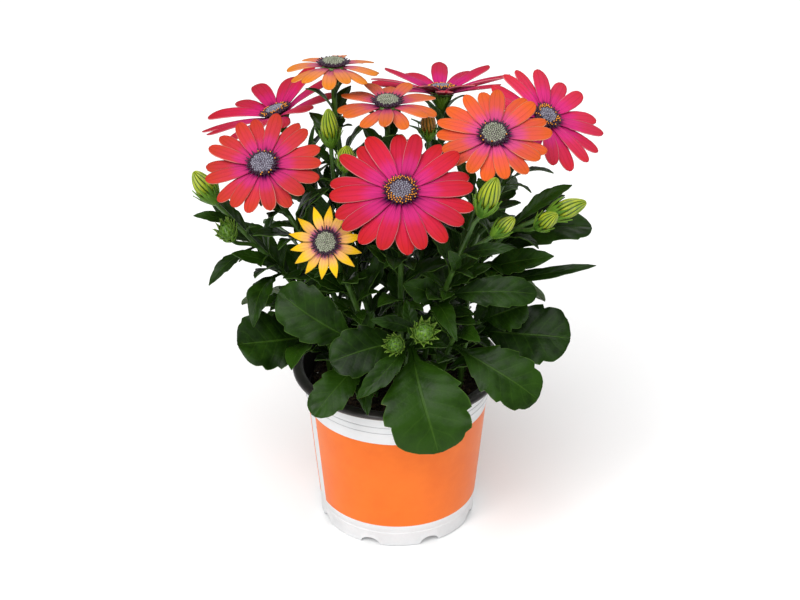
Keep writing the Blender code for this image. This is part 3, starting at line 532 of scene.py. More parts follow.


# White plastic with the orange band, a gap where the band's ends meet, two grey lines of painted shade in the
# collar's creases and a little dirt.
def potPaint(mottle, specks):
    look = potLook
    made, tree, shader = newPaint("potOutside", 0.36, 0.3)
    cloud, orange = groupNode(tree, mottle, *look["plain"]), groupNode(tree, mottle, *look["orange"])
    where = put(tree, "ShaderNodeSeparateXYZ", {0: objectPlace(tree)}).outputs
    turn = calc(tree, "ARCTAN2", where[0], times(tree, where[1], -1))
    inBand = times(tree, calc(tree, "GREATER_THAN", where[2], look["bandLow"] * mm),
                   calc(tree, "LESS_THAN", where[2], look["bandHigh"] * mm))
    fromGap = calc(tree, "ABSOLUTE", calc(tree, "SUBTRACT", turn, look["gapTurn"]))
    inBand = times(tree, inBand, remaining(tree, calc(tree, "LESS_THAN", fromGap, look["gapHalf"])))
    colour = blended(tree, inBand, cloud["Colour"], orange["Colour"])
    dirt = times(tree, groupNode(tree, specks, *look["dirt"])[0], look["dirtShare"])
    colour = blended(tree, dirt, colour, solid(look["dirtColour"]))
    # each crease gets a thin grey line of painted shade
    for level in look["creaseShadeLevels"]:
        away = calc(tree, "ABSOLUTE", calc(tree, "SUBTRACT", where[2], level * mm))
        creaseShade = times(tree, calc(tree, "LESS_THAN", away, look["creaseShadeHalf"] * mm), look["creaseShadeShare"])
        colour = blended(tree, creaseShade, colour, solid(look["creaseShadeColour"]))
    tree.links.new(colour, shader.inputs["Base Color"])
    tree.links.new(scaled(tree, cloud["Height"], 0.18, 0.28), shader.inputs["Roughness"])
    bumped(tree, shader, times(tree, cloud["Height"], scaled(tree, inBand, -0.7, 1)), 1.3, 0.6)
    return made


def makePaints():
    strip = stripGroup()
    rayFinish, leafFinish = rayGroup(strip), leafGroup(strip)
    mottle, specks = mottleGroup(), speckGroup()
    paints = {"potOutside": potPaint(mottle, specks)}

    def stripPaint(name, group, look, *values):
        paints[name], tree, shader = newPaint(name, specular=look["specular"])
        finishWith(tree, shader, groupNode(tree, group, *values), *look["bump"])

    for name, (root, throat, middle, tip, rim, under, reach) in rayColours.items():
        shades = [tuple(part * share for part in under) for share in underShares]
        stripPaint(name + "Ray", rayFinish, rayLook, root, throat, middle, tip, rim, reach)
        stripPaint(name + "RayUnder", rayFinish, rayLook, *shades, rim, underReach)
    for name, values in leafColours.items():
        stripPaint(name, leafFinish, leafLook, *values)
    for name, (first, second, scale, roughness, stretch, depth, specular) in mottledPaints.items():
        paints[name], tree, shader = newPaint(name, roughness, specular)
        finish = groupNode(tree, mottle, first, second, scale, stretch, mottleUse["sharp"])
        finishWith(tree, shader, finish, depth, mottleUse["strength"])
        if name in budGrooves:
            ridge = put(tree, "ShaderNodeAttribute", attribute_name="ridge").outputs["Fac"]
            colour = blended(tree, stepped(tree, ridge, 0.3, 0.8), solid(budGrooves[name]), finish["Colour"])
            tree.links.new(colour, shader.inputs["Base Color"])
    print("materials:", len(paints))
    return paints


potShape = {
    "sides": 144, "edgeDegrees": 38, "drainRadius": 3.5, "drainRing": 23,
    "channels": 8, "channelTurn": 24.6, "channelReach": 43, "channelHeight": 4.4, "channelHalf": 6.0,
    "rings": (
        # the inside, from the middle of the floor to the lip
        (0.5, 5.4), (30, 5.4), (42.8, 5.4), (43.8, 6.2), (50.3, 79), (52, 80.5), (53.4, 94), (53.6, 96.8),
        (53.9, 97.6), (54.6, 98),
        # the rolled lip and the bead under it
        (57, 97.9), (58.7, 97.7), (59.6, 97.2), (60, 96.3), (59.85, 95.5), (59.4, 94.9), (58.7, 94.8),
        (58.8, 94.3), (58.1, 93.9), (57, 93.9),
        # the collar with two creases
        (55.1, 93.9), (54.6, 93.4), (53.7, 88), (53.6, 86.4), (53.25, 86), (53.55, 85.6), (53.2, 82.3),
        (52.85, 82), (53.15, 81.7), (52.9, 80.3), (52.2, 79.3), (51.8, 78.6),
        # the wall and the foot
        (51.75, 77), (51.5, 74), (45.9, 14.5), (45.6, 10.6), (45.25, 10.1), (45.25, 9.5), (45.4, 9),
        (45.1, 8.4), (45, 1.1), (44.6, 0.3), (44, 0),
        # the underside with its recess
        (30, 0), (30, 4), (15, 4), (15, 0), (0.5, 0)),
}
potZones = {"lipLow": 94.95, "beadLow": 93.95, "beadReach": 57.8, "floorLow": 5, "floorReach": 43.9}


def makePot(paints):
    p, zone = potShape, potZones
    pot = turnedForm(p["rings"], p["sides"])
    cutters = []
    for index in range(p["channels"]):
        around = math.radians(p["channelTurn"] + index * 360 / p["channels"])
        deselectAll()
        bpy.ops.mesh.primitive_cylinder_add(vertices=32, radius=1, depth=30)
        channel = bpy.context.object
        channel.data.transform(Matrix.Rotation(around, 4, "Z") @ Matrix.Translation((p["channelReach"], 0, 0))
                               @ Matrix.Rotation(math.pi / 2, 4, "Y")
                               @ Matrix.Diagonal((p["channelHeight"], p["channelHalf"], 1, 1)))
        cutters.append(channel)
        if index % 2 == 0:
            out = outAt(around)
            deselectAll()
            bpy.ops.mesh.primitive_cylinder_add(vertices=24, radius=p["drainRadius"], depth=14)
            drain = bpy.context.object
            drain.data.transform(Matrix.Translation(out * p["drainRing"]))
            cutters.append(drain)
    cutter = joined(cutters, "channelCutter")
    applied(pot, "BOOLEAN", operation="DIFFERENCE", object=cutter, solver="EXACT", use_self=True)
    bpy.data.objects.remove(cutter, do_unlink=True)
    paintWith(pot, paints["potOutside"], paints["potInside"], paints["potBead"])
    for face in pot.data.polygons:
        c, n = face.center, face.normal
        reach = math.hypot(c.x, c.y)
        outer = n.x * c.x + n.y * c.y > 0
        isFloor = reach < zone["floorReach"] and n.z > 0.9
        if c.z > zone["lipLow"] or (c.z > zone["floorLow"] and (isFloor or not outer)):
            face.material_index = 1
        elif c.z > zone["beadLow"] and reach > zone["beadReach"]:
            face.material_index = 2
    pot.name = "potWall"
    finished(pot, "pot", p["edgeDegrees"])
    print("pot:", len(pot.data.polygons), "faces")


soilShape = {
    "level": 88, "edge": 49.4, "middle": 0.4, "rings": 26, "sides": 96, "edgeDegrees": 50, "rise": 0.4,
    "grainLift": 0.9, "grainPlay": (0.7, 1.25),
    "under": ((0.4, 6), (43, 6), (43.3, 8), (48.9, 78), (49.4, 86.5)),
    "lumps": ((9, 1.6), (3.2, 1.3), (1.3, 0.7)),  # size, height
    "grains": (
        # finish, count, smallest, largest, stretch
        ("peatCrumb", 420, 0.5, 2.1, (1, 0.9, 0.7)), ("perlite", 46, 0.3, 0.9, (1, 0.9, 0.8)),
        ("peatCrumb", 60, 0.35, 0.6, (7, 0.6, 0.6))),
}


# Grains of one kind, strewn over the soil.
def strewn(paint, draw, count, low, high, stretch):
    s = soilShape
    deselectAll()
    bpy.ops.mesh.primitive_ico_sphere_add(subdivisions=1, radius=1)
    model = paintWith(bpy.context.object, paint)
    grains = []
    for index in range(count):
        grain = copyOf(model, f"grain_{index}")
        for vert in grain.data.vertices:
            vert.co *= draw.uniform(*s["grainPlay"])
        reach = (s["edge"] - 2) * math.sqrt(draw.random())
        around = draw.uniform(0, 2 * math.pi)
        size = draw.uniform(low, high)
        spot = (reach * math.cos(around), reach * math.sin(around), s["level"] + s["grainLift"] + size * 0.3)
        turn = Matrix.Rotation(draw.uniform(0, 6.3), 4, "Z")
        turn @= Matrix.Rotation(draw.uniform(-0.5, 0.5), 4, "X")
        stretched = Matrix.Diagonal((*(size * part for part in stretch), 1))
        grain.data.transform(Matrix.Translation(spot) @ turn @ stretched)
        grains.append(grain)
    bpy.data.objects.remove(model, do_unlink=True)
    return grains


def makeSoil(paints):
    s = soilShape
    draw = random.Random(seed)
    rings = list(s["under"])
    for index in range(1, s["rings"] + 1):
        inwards = index / s["rings"]
        rings.append((s["edge"] * (1 - inwards) + s["middle"] * inwards, s["level"] + s["rise"]))
    soil = turnedForm(rings, s["sides"])
    top = soil.vertex_groups.new(name="top")
    top.add([vert.index for vert in soil.data.vertices if vert.co.z > s["level"]], 1, "REPLACE")
    for size, strength in s["lumps"]:
        clouds = bpy.data.textures.new("lumps", "CLOUDS")
        clouds.noise_scale = size
        clouds.noise_depth = 2
        applied(soil, "DISPLACE", texture=clouds, texture_coords="LOCAL", strength=strength, mid_level=0.5,
                direction="Z", vertex_group="top")
    soil.vertex_groups.clear()
    parts = [paintWith(soil, paints["peat"])]
    for kind, *form in s["grains"]:
        parts += strewn(paints[kind], draw, *form)
    soil = joined(parts, "peatSoil")
    finished(soil, "soil", s["edgeDegrees"])
    print("soil:", len(soil.data.polygons), "faces")


leafKinds = {
    # outline: (place along, half width); teeth on each side, their depth and how near the edge they
    # bite; fold along the midrib; faces across and along; curl of the tip; width of a turned leaf
    "broad": {"outline": ((0, 0.08), (0.1, 0.09), (0.18, 0.14), (0.28, 0.42), (0.38, 0.7), (0.5, 0.9),
                          (0.63, 1.0), (0.77, 0.98), (0.88, 0.86), (0.95, 0.62), (0.985, 0.36), (1, 0.1)),
              "teeth": 4, "depth": 0.15, "fold": 0.1, "strip": (14, 44), "bite": 5, "curl": 1.0},
    "middle": {"outline": ((0, 0.12), (0.22, 0.18), (0.38, 0.6), (0.54, 0.9), (0.68, 0.92), (0.8, 0.74),
                           (0.92, 0.4), (1, 0.04)),
               "teeth": 4, "depth": 0.18, "fold": 0.16, "strip": (8, 26), "bite": 6, "curl": 1.2,
               "slim": 0.42},
    "narrow": {"outline": ((0, 0.3), (0.2, 0.56), (0.42, 0.84), (0.66, 0.96), (0.82, 0.74), (0.94, 0.36),
                           (1, 0.04)),
               "teeth": 2, "depth": 0.16, "fold": 0.16, "strip": (6, 18), "bite": 6, "curl": 1.6,
               "slim": 0.34},
}
leafPlay = {"swing": 0.06, "wave": 0.035, "ripple": 0.03, "edgeDrop": 0.05, "groove": 0.012,
            "bareFoot": 0.22, "curlFrom": 0.68}


def outwardHint(point):
    flat = Vector((point[0], point[1], 0)).normalized()
    front = max(-1, min(1, point[1] / 40))
    return flat * 0.6 + Vector((0, front * 0.9, 1))


# A leaf from the stem to its tip, as the solid leaf lies, with teeth, a rib and a waved edge.
def shapedLeaf(models, kind, base, tip, width, arch, turn, hint, index):
    form, play = leafKinds[kind], leafPlay
    draw = random.Random(seed * 1000 + index)
    base, tip = Vector(base), Vector(tip)
    run = tip - base
    ahead = run.normalized()
    upper = (hint - ahead * hint.dot(ahead)).normalized()
    upper = Matrix.Rotation(math.radians(turn), 3, ahead) @ upper
    side = ahead.cross(upper)
    length = run.length
    phase = (draw.random(), draw.random())
    swing = draw.uniform(-play["swing"], play["swing"])
    wave = draw.uniform(0.8, 1.3)
    ripple = draw.uniform(0, 6.3)
    teeth = form["teeth"] * draw.uniform(1.0, 1.5)
    curl = draw.uniform(-0.25, 0.75) * form["curl"]

    def place(along, across):
        edge, half = abs(across), easedAlong(form["outline"], along)
        tooth = (along * teeth + phase[across > 0]) % 1
        cut = form["depth"] * (1 - tooth) ** 1.5
        cut *= min(1, max(0, along - play["bareFoot"]) * 5) * min(1, (1 - along) * 8)
        half *= 1 - cut * edge ** form["bite"]
        swell = math.sin(along * 23 + ripple + (across > 0) * 2) * edge ** 3
        rise = form["fold"] * edge * half + play["wave"] * math.sin(along * 11) * across * half * wave
        rise += play["ripple"] * swell * half - play["edgeDrop"] * edge ** 4 * half
        rise -= play["groove"] * math.exp(-(across * 7) ** 2)
        lift = arch * 4 * along * (1 - along) - curl * max(0, along - play["curlFrom"]) ** 2
        sway = swing * length * math.sin(along * math.pi)
        beside = across * half * width / 2 + sway
        return base + run * along + side * beside + upper * (rise * width + lift * length)

    return shapedStrip(models[kind], f"leaf_{index}", place, index % 97)


# A stem on one curve, thinner towards its end.
def roundStem(path, thick, thin):
    deselectAll()
    bpy.ops.curve.primitive_bezier_curve_add()
    guide = bpy.context.object
    first, last = guide.data.splines[0].bezier_points
    for point in (first, last):
        point.handle_left_type = point.handle_right_type = "FREE"
    a, b, c, d = path
    first.co, first.handle_right, last.handle_left, last.co = a, b, c, d
    first.handle_left, last.handle_right = a * 2 - b, d * 2 - c
    first.radius, last.radius = thick, thin
    guide.data.resolution_u = 28
    guide.data.bevel_depth = 1
    guide.data.bevel_resolution = 4
    guide.data.use_fill_caps = True
    pick(guide)
    bpy.ops.object.convert(target="MESH")
    return bpy.context.object


# Joins strips and gives them their thickness. A second finish goes on the underside.
def thickened(strips, thickness, *finishes):
    made = paintWith(joined(strips, "strips"), *finishes)
    applied(made, "SOLIDIFY", thickness=thickness, offset=0, material_offset=len(finishes) - 1)
    return made


blooms = {
    "red_front": {"at": (2, -60, 235), "lean": -90, "lift": 61, "radius": 38.4, "rays": 20, "width": 9.2,
                  "pitch": (8, -2), "turn": 3, "disc": 8.4, "ripe": 0.8, "floret": "floretGrey"},
    "scarlet_left": {"at": (-70, -38, 240), "lean": -100, "lift": 60, "radius": 31.5, "rays": 18,
                     "width": 7.8, "pitch": (10, 2), "turn": 8, "disc": 7.6,
                     "ripe": 0.25, "floret": "floretGrey"},
    "crimson_back_left": {"at": (-67, 40, 234), "lean": 170, "lift": 70, "radius": 44, "rays": 14,
                          "width": 9.6, "pitch": (24, 4), "turn": 0, "disc": 7.8,
                          "ripe": 0.5, "floret": "floretGrey"},
    "orange_top": {"at": (-34, 12, 275), "lean": 90, "lift": 86, "radius": 26, "rays": 14, "width": 7.4,
                   "pitch": (8, -24), "turn": 5, "disc": 7.4, "ripe": 0.0, "floret": "floretGreen"},
    "coral_middle": {"at": (-5, -7, 261), "lean": -80, "lift": 87, "radius": 28, "rays": 14, "width": 7.4,
                     "pitch": (14, -14), "turn": 0, "disc": 7.2, "ripe": 0.0, "floret": "floretGreen"},
    "crimson_back_right": {"at": (25, 64, 237), "lean": 95, "lift": 76, "radius": 43, "rays": 14,
                           "width": 9.6, "pitch": (26, 6), "turn": 9, "disc": 7.6,
                           "ripe": 0.5, "floret": "floretGrey"},
    "orange_right": {"at": (51, -25, 251), "lean": -92, "lift": 63, "radius": 31, "rays": 18, "width": 8.0,
                     "pitch": (8, 0), "turn": 2, "disc": 7.8, "ripe": 0.15, "floret": "floretGreen"},
    "pink_right": {"at": (81, 17, 242), "lean": -45, "lift": 57, "radius": 35, "rays": 16, "width": 8.6,
                   "pitch": (10, -6), "turn": 6, "disc": 7.4, "ripe": 0.5, "floret": "floretGrey"},
    "yellow_small": {"at": (-37, -64, 208), "lean": -92, "lift": 36, "radius": 20, "rays": 14, "width": 5.1,
                     "pitch": (6, 0), "turn": 10, "disc": 6.6, "ripe": 0.0, "floret": "floretGreen"},
}
rayForm = {"hub": 6.0, "overlap": 1.2, "drop": 1.0, "layerPitch": 4.0, "thickness": 0.5, "strip": (12, 26),
           "widen": 1.08, "notch": 0.12, "groove": 0.16}
# how far each ray may differ: degrees, shares of the usual length and width, and the blade's own bends
rayPlay = {"turn": 2.5, "length": (0.93, 1.0), "width": (0.92, 1.04), "start": 1, "end": 5, "twist": 12,
           "cup": (-0.05, 0.09), "notch": (-0.3, 0.7), "bend": (-0.08, 0.08)}
roundRay = ((0, 0.34), (0.16, 0.58), (0.36, 0.86), (0.6, 1.0), (0.8, 0.95), (0.9, 0.78), (0.96, 0.54),
            (1, 0.16))
pointedRay = ((0, 0.34), (0.2, 0.66), (0.4, 0.9), (0.58, 0.88), (0.76, 0.58), (0.9, 0.26), (1, 0.03))


# The way a bloom looks, from its lean (compass) and lift (height) in degrees.
def facing(bloom):
    across, up = math.radians(bloom["lean"]), math.radians(bloom["lift"])
    return Vector((math.cos(up) * math.cos(across), math.cos(up) * math.sin(across), math.sin(up)))


# How far out and up an arc of unit length has come, as its pitch turns from start to end.
def arcAt(share, start, end):
    first, last = math.radians(start), math.radians(end)
    change = last - first if abs(last - first) >= 0.001 else 0.001
    here = first + change * share
    return (math.sin(here) - math.sin(first)) / change, (math.cos(first) - math.cos(here)) / change


def makeRays(name, bloom, number, models, paints):
    draw = random.Random(seed + number)
    own = random.Random(500 + number)
    frameAt = leanTo(bloom["at"], facing(bloom))
    outline, play = pointedRay if name == "yellow_small" else roundRay, rayPlay
    rays = []
    for index in range(bloom["rays"]):
        lower = index % 2
        turn = bloom["turn"] + index * 360 / bloom["rays"] + draw.uniform(-play["turn"], play["turn"])
        length = (bloom["radius"] - rayForm["hub"]) * draw.uniform(*play["length"])
        width = bloom["width"] * draw.uniform(*play["width"]) * rayForm["widen"]
        layerPitch = rayForm["layerPitch"] * lower
        start = bloom["pitch"][0] - layerPitch + draw.uniform(-play["start"], play["start"])
        end = bloom["pitch"][1] - layerPitch + draw.uniform(-play["end"], play["end"])
        twist = math.radians(draw.uniform(-play["twist"], play["twist"]))
        spin = Matrix.Rotation(math.radians(turn), 4, "Z")
        cup, notch, bend = (own.uniform(*play[label]) for label in ("cup", "notch", "bend"))

        def place(along, across):
            half = easedAlong(outline, along)
            out, up = arcAt(along, start, end)
            pitch = math.radians(start + (end - start) * along)
            out -= notch * rayForm["notch"] * math.exp(-(across * 4) ** 2) * max(0, along - 0.85)
            side = bend * length * along * along - across * half * width / 2
            roll = twist * along
            fade = min(1, along * 4) * min(1, (1 - along) * 5)
            groove = rayForm["groove"] * (math.cos(across * 3 * math.pi / 2) ** 2 - 0.5) * fade
            lift = -cup * width * across * across * half - groove
            rise = length * up - rayForm["drop"] * lower + side * math.sin(roll) + lift * math.cos(pitch)
            reach = rayForm["hub"] - rayForm["overlap"] + (length + rayForm["overlap"]) * out
            return frameAt @ (spin @ Vector((reach - lift * math.sin(pitch), side * math.cos(roll), rise)))

        rays.append(shapedStrip(models["ray"], f"ray_{index}", place, index + number * 24))
    made = thickened(rays, rayForm["thickness"], paints[name + "Ray"], paints[name + "RayUnder"])
    hub = placed(models["hub"], "hub", frameAt, paints["cup"])
    made = joined([made, hub], name + "_rays")
    finished(made, "rays_" + name, 180)


discForm = {
    "florets": 150, "outer": 24, "edge": 1.0, "dome": 1.9, "domePower": 2.4, "fill": 0.97, "sunk": 0.35,
    "size": 0.52, "sizeGain": 0.16, "sizePlay": 0.04, "spread": 0.55, "grain": 0.42, "petal": (0.42, 0.42),
    "edgeDegrees": 60,
    "ringStart": {"ripe": 0.64, "young": 0.78},  # where the dark open florets begin
}


def makeDisc(name, bloom, number, models, paints):
    form = discForm
    draw = random.Random(900 + number)
    radius = bloom["disc"]
    low = 0.9 + (radius - 6) * math.tan(math.radians(bloom["pitch"][0] + 2))
    spread = Matrix.Translation((0, 0, low)) @ Matrix.Diagonal((radius, radius, 1, 1))
    parts = [placed(models["cushion"], "cushion", spread, paints["floretDark"])]
    ringStart = form["ringStart"]["ripe" if bloom["ripe"] > 0.4 else "young"]
    for index in range(form["florets"]):
        share = form["fill"] * math.sqrt((index + 0.5) / form["florets"])
        around = index * goldenAngle
        out = outAt(around)
        outerRing = share > ringStart
        size = form["size"] + form["sizeGain"] * share + draw.uniform(-form["sizePlay"], form["sizePlay"])
        kind, tall = ("floretDark", 1.5) if outerRing else (bloom["floret"], 1.1)
        height = low + form["edge"] + form["dome"] * (1 - share ** form["domePower"])
        spot = out * (radius * share) + Vector((0, 0, height - form["sunk"]))
        tilt = out * (share * form["spread"]) + Vector((0, 0, 1))
        matrix = leanTo(spot, tilt) @ Matrix.Diagonal((size, size, size * tall, 1))
        parts.append(placed(models["floret"], f"floret_{index}", matrix, paints[kind]))
        if outerRing and draw.random() < bloom["ripe"]:
            top = spot + tilt.normalized() * (size * tall * 0.95) + Vector((0, 0, 0.1))
            matrix = Matrix.Translation(top) @ Matrix.Scale(form["grain"], 4)
            parts.append(placed(models["grain"], f"grain_{index}", matrix, paints["pollen"]))
    for index in range(form["outer"]):
        around = (index + draw.uniform(-0.2, 0.2)) * 2 * math.pi / form["outer"]
        out = outAt(around)
        long = draw.uniform(1.2, 2.0)
        spot = out * (radius * 0.96 + long * 0.4) + Vector((0, 0, low + 1.0))
        matrix = leanTo(spot, out + Vector((0, 0, 0.45))) @ Matrix.Diagonal((*form["petal"], long, 1))
        parts.append(placed(models["floret"], f"outer_{index}", matrix, paints["floretDark"]))
    made = joined(parts, name + "_florets")
    finished(made, "disc_" + name, form["edgeDegrees"], leanTo(bloom["at"], facing(bloom)))


stalks = {
    # hole in the soil, rise from it, reach under the bloom, small leaves: from, to, turn, length
    "red_front": {"hole": (2, -20), "rise": 60, "reach": 26, "leaves": (0.3, 0.78, 200, 24)},
    "scarlet_left": {"hole": (-22, -14), "rise": 64, "reach": 24, "leaves": (0.34, 0.84, 150, 24)},
    "crimson_back_left": {"hole": (-22, 15), "rise": 56, "reach": 26, "leaves": (0.3, 0.84, 60, 26)},
    "orange_top": {"hole": (-11, 4), "rise": 60, "reach": 60, "leaves": (0.3, 0.8, 20, 24)},
    "coral_middle": {"hole": (1, -5), "rise": 60, "reach": 50, "leaves": (0.3, 0.82, 250, 22)},
    "crimson_back_right": {"hole": (8, 22), "rise": 60, "reach": 44, "leaves": (0.3, 0.82, 40, 26)},
    "orange_right": {"hole": (19, -12), "rise": 62, "reach": 26, "leaves": (0.34, 0.84, 300, 24)},
    "pink_right": {"hole": (24, 9), "rise": 56, "reach": 34, "leaves": (0.34, 0.84, 10, 24)},
    "yellow_small": {"hole": (-12, -22), "rise": 50, "reach": 20, "leaves": (0.4, 0.8, 240, 20)},
}
shoots = {
    # hole, end, aim and leaves: place along, tip, width, kind, arch, turn
    "shoot_left": ((-34, -12), (-46, -32, 136), (-0.5, -0.4, 0.6), (
        (0.9, (-86, -58, 143), 34, "broad", 0.06, 0), (0.8, (-57, -68, 135), 17, "middle", 0.1, 30),
        (0.6, (-84, -14, 124), 26, "broad", 0.12, 0))),
    "shoot_front_left": ((-18, -34), (-18, -49, 138), (-0.2, -0.5, 0.6), (
        (1.0, (-63, -46, 168), 30, "broad", 0.08, 0), (0.7, (-45, -76, 109), 21, "broad", 0.14, 0),
        (0.5, (-16, -77, 112), 12, "middle", 0.12, 0))),
    "shoot_front": ((4, -38), (10, -56, 150), (0.2, -0.4, 0.8), (
        (0.95, (-21, -86, 127), 14, "middle", 0.1, 0), (0.8, (22, -95, 99), 49, "broad", 0.14, 0),
        (0.86, (-35, -74, 142), 28, "broad", 0.08, 0), (1.0, (-12, -72, 166), 9, "narrow", 0.08, 0))),
    "shoot_right_front": ((24, -32), (32, -46, 142), (0.3, -0.3, 0.8), (
        (0.85, (76, -66, 114), 32, "broad", 0.12, 0), (1.0, (43, -70, 153), 10, "narrow", 0.08, 0))),
    "shoot_right": ((36, -12), (46, -24, 138), (0.5, -0.2, 0.7), (
        (0.85, (94, -40, 137), 36, "broad", 0.08, 0), (1.0, (71, -37, 156), 24, "broad", 0.08, 0),
        (0.6, (84, -2, 122), 24, "broad", 0.12, 0))),
    "shoot_back_right": ((30, 26), (40, 38, 140), (0.5, 0.4, 0.7), (
        (0.7, (86, 34, 122), 28, "broad", 0.12, 0), (0.86, (58, 82, 126), 28, "broad", 0.12, 0),
        (1.0, (76, 62, 156), 22, "broad", 0.08, 0), (0.7, (58, 54, 182), 20, "broad", 0.06, 180))),
    "shoot_back": ((0, 38), (2, 54, 138), (0, 0.5, 0.7), (
        (0.66, (-22, 92, 114), 30, "broad", 0.14, 0), (0.8, (24, 94, 124), 26, "broad", 0.12, 0),
        (1.0, (-2, 84, 156), 22, "broad", 0.08, 0), (0.6, (-16, 34, 178), 24, "broad", 0.1, 180),
        (0.9, (20, 74, 184), 22, "broad", 0.06, 180))),
    "shoot_back_left": ((-33, 24), (-48, 28, 138), (-0.5, 0.4, 0.7), (
        (0.66, (-90, 28, 120), 28, "broad", 0.12, 0), (0.84, (-62, 80, 126), 28, "broad", 0.12, 0),
        (1.0, (-76, 60, 158), 22, "broad", 0.08, 0), (0.7, (-64, 4, 170), 20, "broad", 0.06, 180))),
    "branch_left": ((-38, 0), (-93, -22, 205), (-0.6, 0.1, 0.7), (
        (0.62, (-77, -59, 158), 15, "middle", 0.14, 0), (0.8, (-101, -44, 173), 9, "middle", 0.1, 0),
        (0.66, (-89, -46, 192), 8, "narrow", 0.08, 0), (0.92, (-107, -34, 209), 7, "narrow", 0.08, 0),
        (0.5, (-92, 16, 182), 16, "middle", 0.12, 0), (0.72, (-104, 4, 206), 12, "middle", 0.1, 0))),
    "branch_left_middle": ((-10, -9), (-35, -10, 230), (-0.05, 0, 1), (
        (0.4, (-6, -34, 190), 11, "middle", 0.1, 0), (0.52, (-30, -30, 206), 9, "narrow", 0.1, 0),
        (0.64, (-50, -20, 222), 8, "narrow", 0.1, 0), (0.8, (-48, 0, 244), 7, "narrow", 0.08, 0))),
    "branch_middle": ((9, 7), (17, 10, 222), (0, 0, 1), (
        (0.4, (28, 22, 182), 12, "middle", 0.1, 0), (0.55, (4, 26, 208), 10, "narrow", 0.1, 0),
        (0.7, (34, 16, 232), 8, "narrow", 0.08, 0))),
    "branch_right_front": ((13, -27), (40, -54, 214), (0.3, -0.1, 0.9), (
        (0.6, (74, -54, 172), 18, "broad", 0.16, 0), (0.45, (31, -76, 157), 13, "middle", 0.3, 0),
        (0.55, (3, -62, 182), 17, "middle", 0.1, 0), (0.75, (26, -72, 208), 8, "narrow", 0.1, 0),
        (0.85, (60, -62, 204), 8, "narrow", 0.1, 0))),
    "branch_right": ((38, 4), (75, -21, 199), (0.8, 0, 0.3), (
        (0.62, (106, -10, 190), 24, "broad", 0.1, 0), (0.5, (107, -33, 178), 8, "narrow", 0.06, 0),
        (0.56, (84, -38, 186), 16, "middle", 0.1, 0), (0.84, (95, -3, 212), 10, "middle", 0.08, 0),
        (0.74, (92, 6, 202), 10, "narrow", 0.1, 0))),
}
shootSets = {
    # for names with this word: count, from, to, turn for each shoot before, turn, length, number of the
    # first, opening, kind
    "middle": ((9, 0.56, 0.94, 50, 0, 34, 1600, 38, "middle"),),
    "branch": ((6, 0.3, 0.86, 40, 0, 22, 700, 62, "narrow"), (8, 0.06, 0.7, 40, 30, 35, 1100, 50, "middle"),
               (6, 0.35, 0.8, 40, 200, 38, 1400, 42, "middle")),
    "shoot": ((7, 0.25, 0.98, 50, 0, 34, 1200, 46, "middle"),),
}
buds = {
    # on, place along, middle, axis, radius, length, finish
    "bud_left_tall": ("branch_left_middle", 1.0, (-36, -9, 250), (-0.05, 0, 1), 5.2, 17, "budYoung"),
    "bud_left_short": ("branch_left_middle", 0.7, (-27, -22, 238), (0.1, -0.3, 1), 5.2, 12, "budYoung"),
    "bud_brown_middle": ("branch_middle", 0.72, (2, -20, 243), (0, -0.3, 1), 4.6, 14, "budBrown"),
    "bud_brown_right": ("branch_middle", 1.0, (17, 10, 243), (0, 0, 1), 4.6, 14, "budBrown"),
    "bud_front_right": ("branch_right_front", 1.0, (48, -57, 233), (0.3, -0.1, 0.9), 6.2, 18, "budYoung"),
    "bud_green_right": ("branch_right_front", 0.8, (57, -50, 211), (0.7, 0.1, 0.6), 4.6, 11, "budYoung"),
    "bud_right_near": ("branch_right", 0.86, (80, -42, 210), (0.5, -0.4, 0.6), 4.8, 13, "budYoung"),
    "bud_right_far": ("branch_right", 1.0, (93, -22, 207), (0.9, 0, 0.35), 5.8, 17, "budYoung"),
    "bud_far_left": ("branch_left", 1.0, (-104, -21, 221), (-0.5, 0.1, 0.8), 6.0, 15, "budYoung"),
}
heads = {
    "head_left": ("branch_left", 0.78, (-90, -42, 203), (-0.2, -0.5, 0.8), 4.4),
    "head_front": ("shoot_front", 0.94, (14, -78, 162), (0.1, -0.8, 0.6), 5.2),
    "head_front_small": ("shoot_front", 0.8, (-1, -72, 151), (-0.3, -0.8, 0.5), 4.2),
}
crownLeaves = {
    # count, from, to, number of the first, opening, for stalks that are leafy high up
    "orange_top": (7, 0.66, 0.93, 1500, 34), "coral_middle": (7, 0.66, 0.93, 1500, 34),
    "crimson_back_right": (7, 0.66, 0.93, 1500, 34),
    "crimson_back_left": (6, 0.6, 0.82, 1700, 50), "scarlet_left": (6, 0.6, 0.82, 1700, 50),
}
growth = {"stem": 1.7, "twig": 1.2, "taper": 0.9, "soilLevel": 88, "holeDepth": 8.7, "leafThickness": 0.5,
          "neck": 9.5, "crownTurn": 160, "crownLength": 36, "shrink": 0.45, "arch": 0.12, "edgeDegrees": 70,
          "shootReach": 0.36, "twigPull": 0.4, "twigSunk": 1.5, "cupGap": 0.3}
hairForm = {"count": 150, "long": (0.7, 1.4), "thick": 0.09, "first": 0.06, "last": 0.97, "sunk": 0.1,
            "forward": 0.3}


# Short fine hairs that stand out from a stem.
def stemHairs(models, paints, path, thin, number):
    draw = random.Random(3000 + number)
    thick = growth["stem"]
    made = []
    for index in range(hairForm["count"]):
        t = draw.uniform(hairForm["first"], hairForm["last"])
        ahead = onwards(path, t)
        away = sideways(ahead, draw.uniform(0, 2 * math.pi))
        root = bezierAt(path, t) + away * (thick + (thin - thick) * t - hairForm["sunk"])
        matrix = leanTo(root, away + ahead * hairForm["forward"])
        matrix @= Matrix.Scale(draw.uniform(*hairForm["long"]), 4)
        made.append(placed(models["hair"], f"hair_{index}", matrix))
    return paintWith(joined(made, "hairs"), paints["cup"])


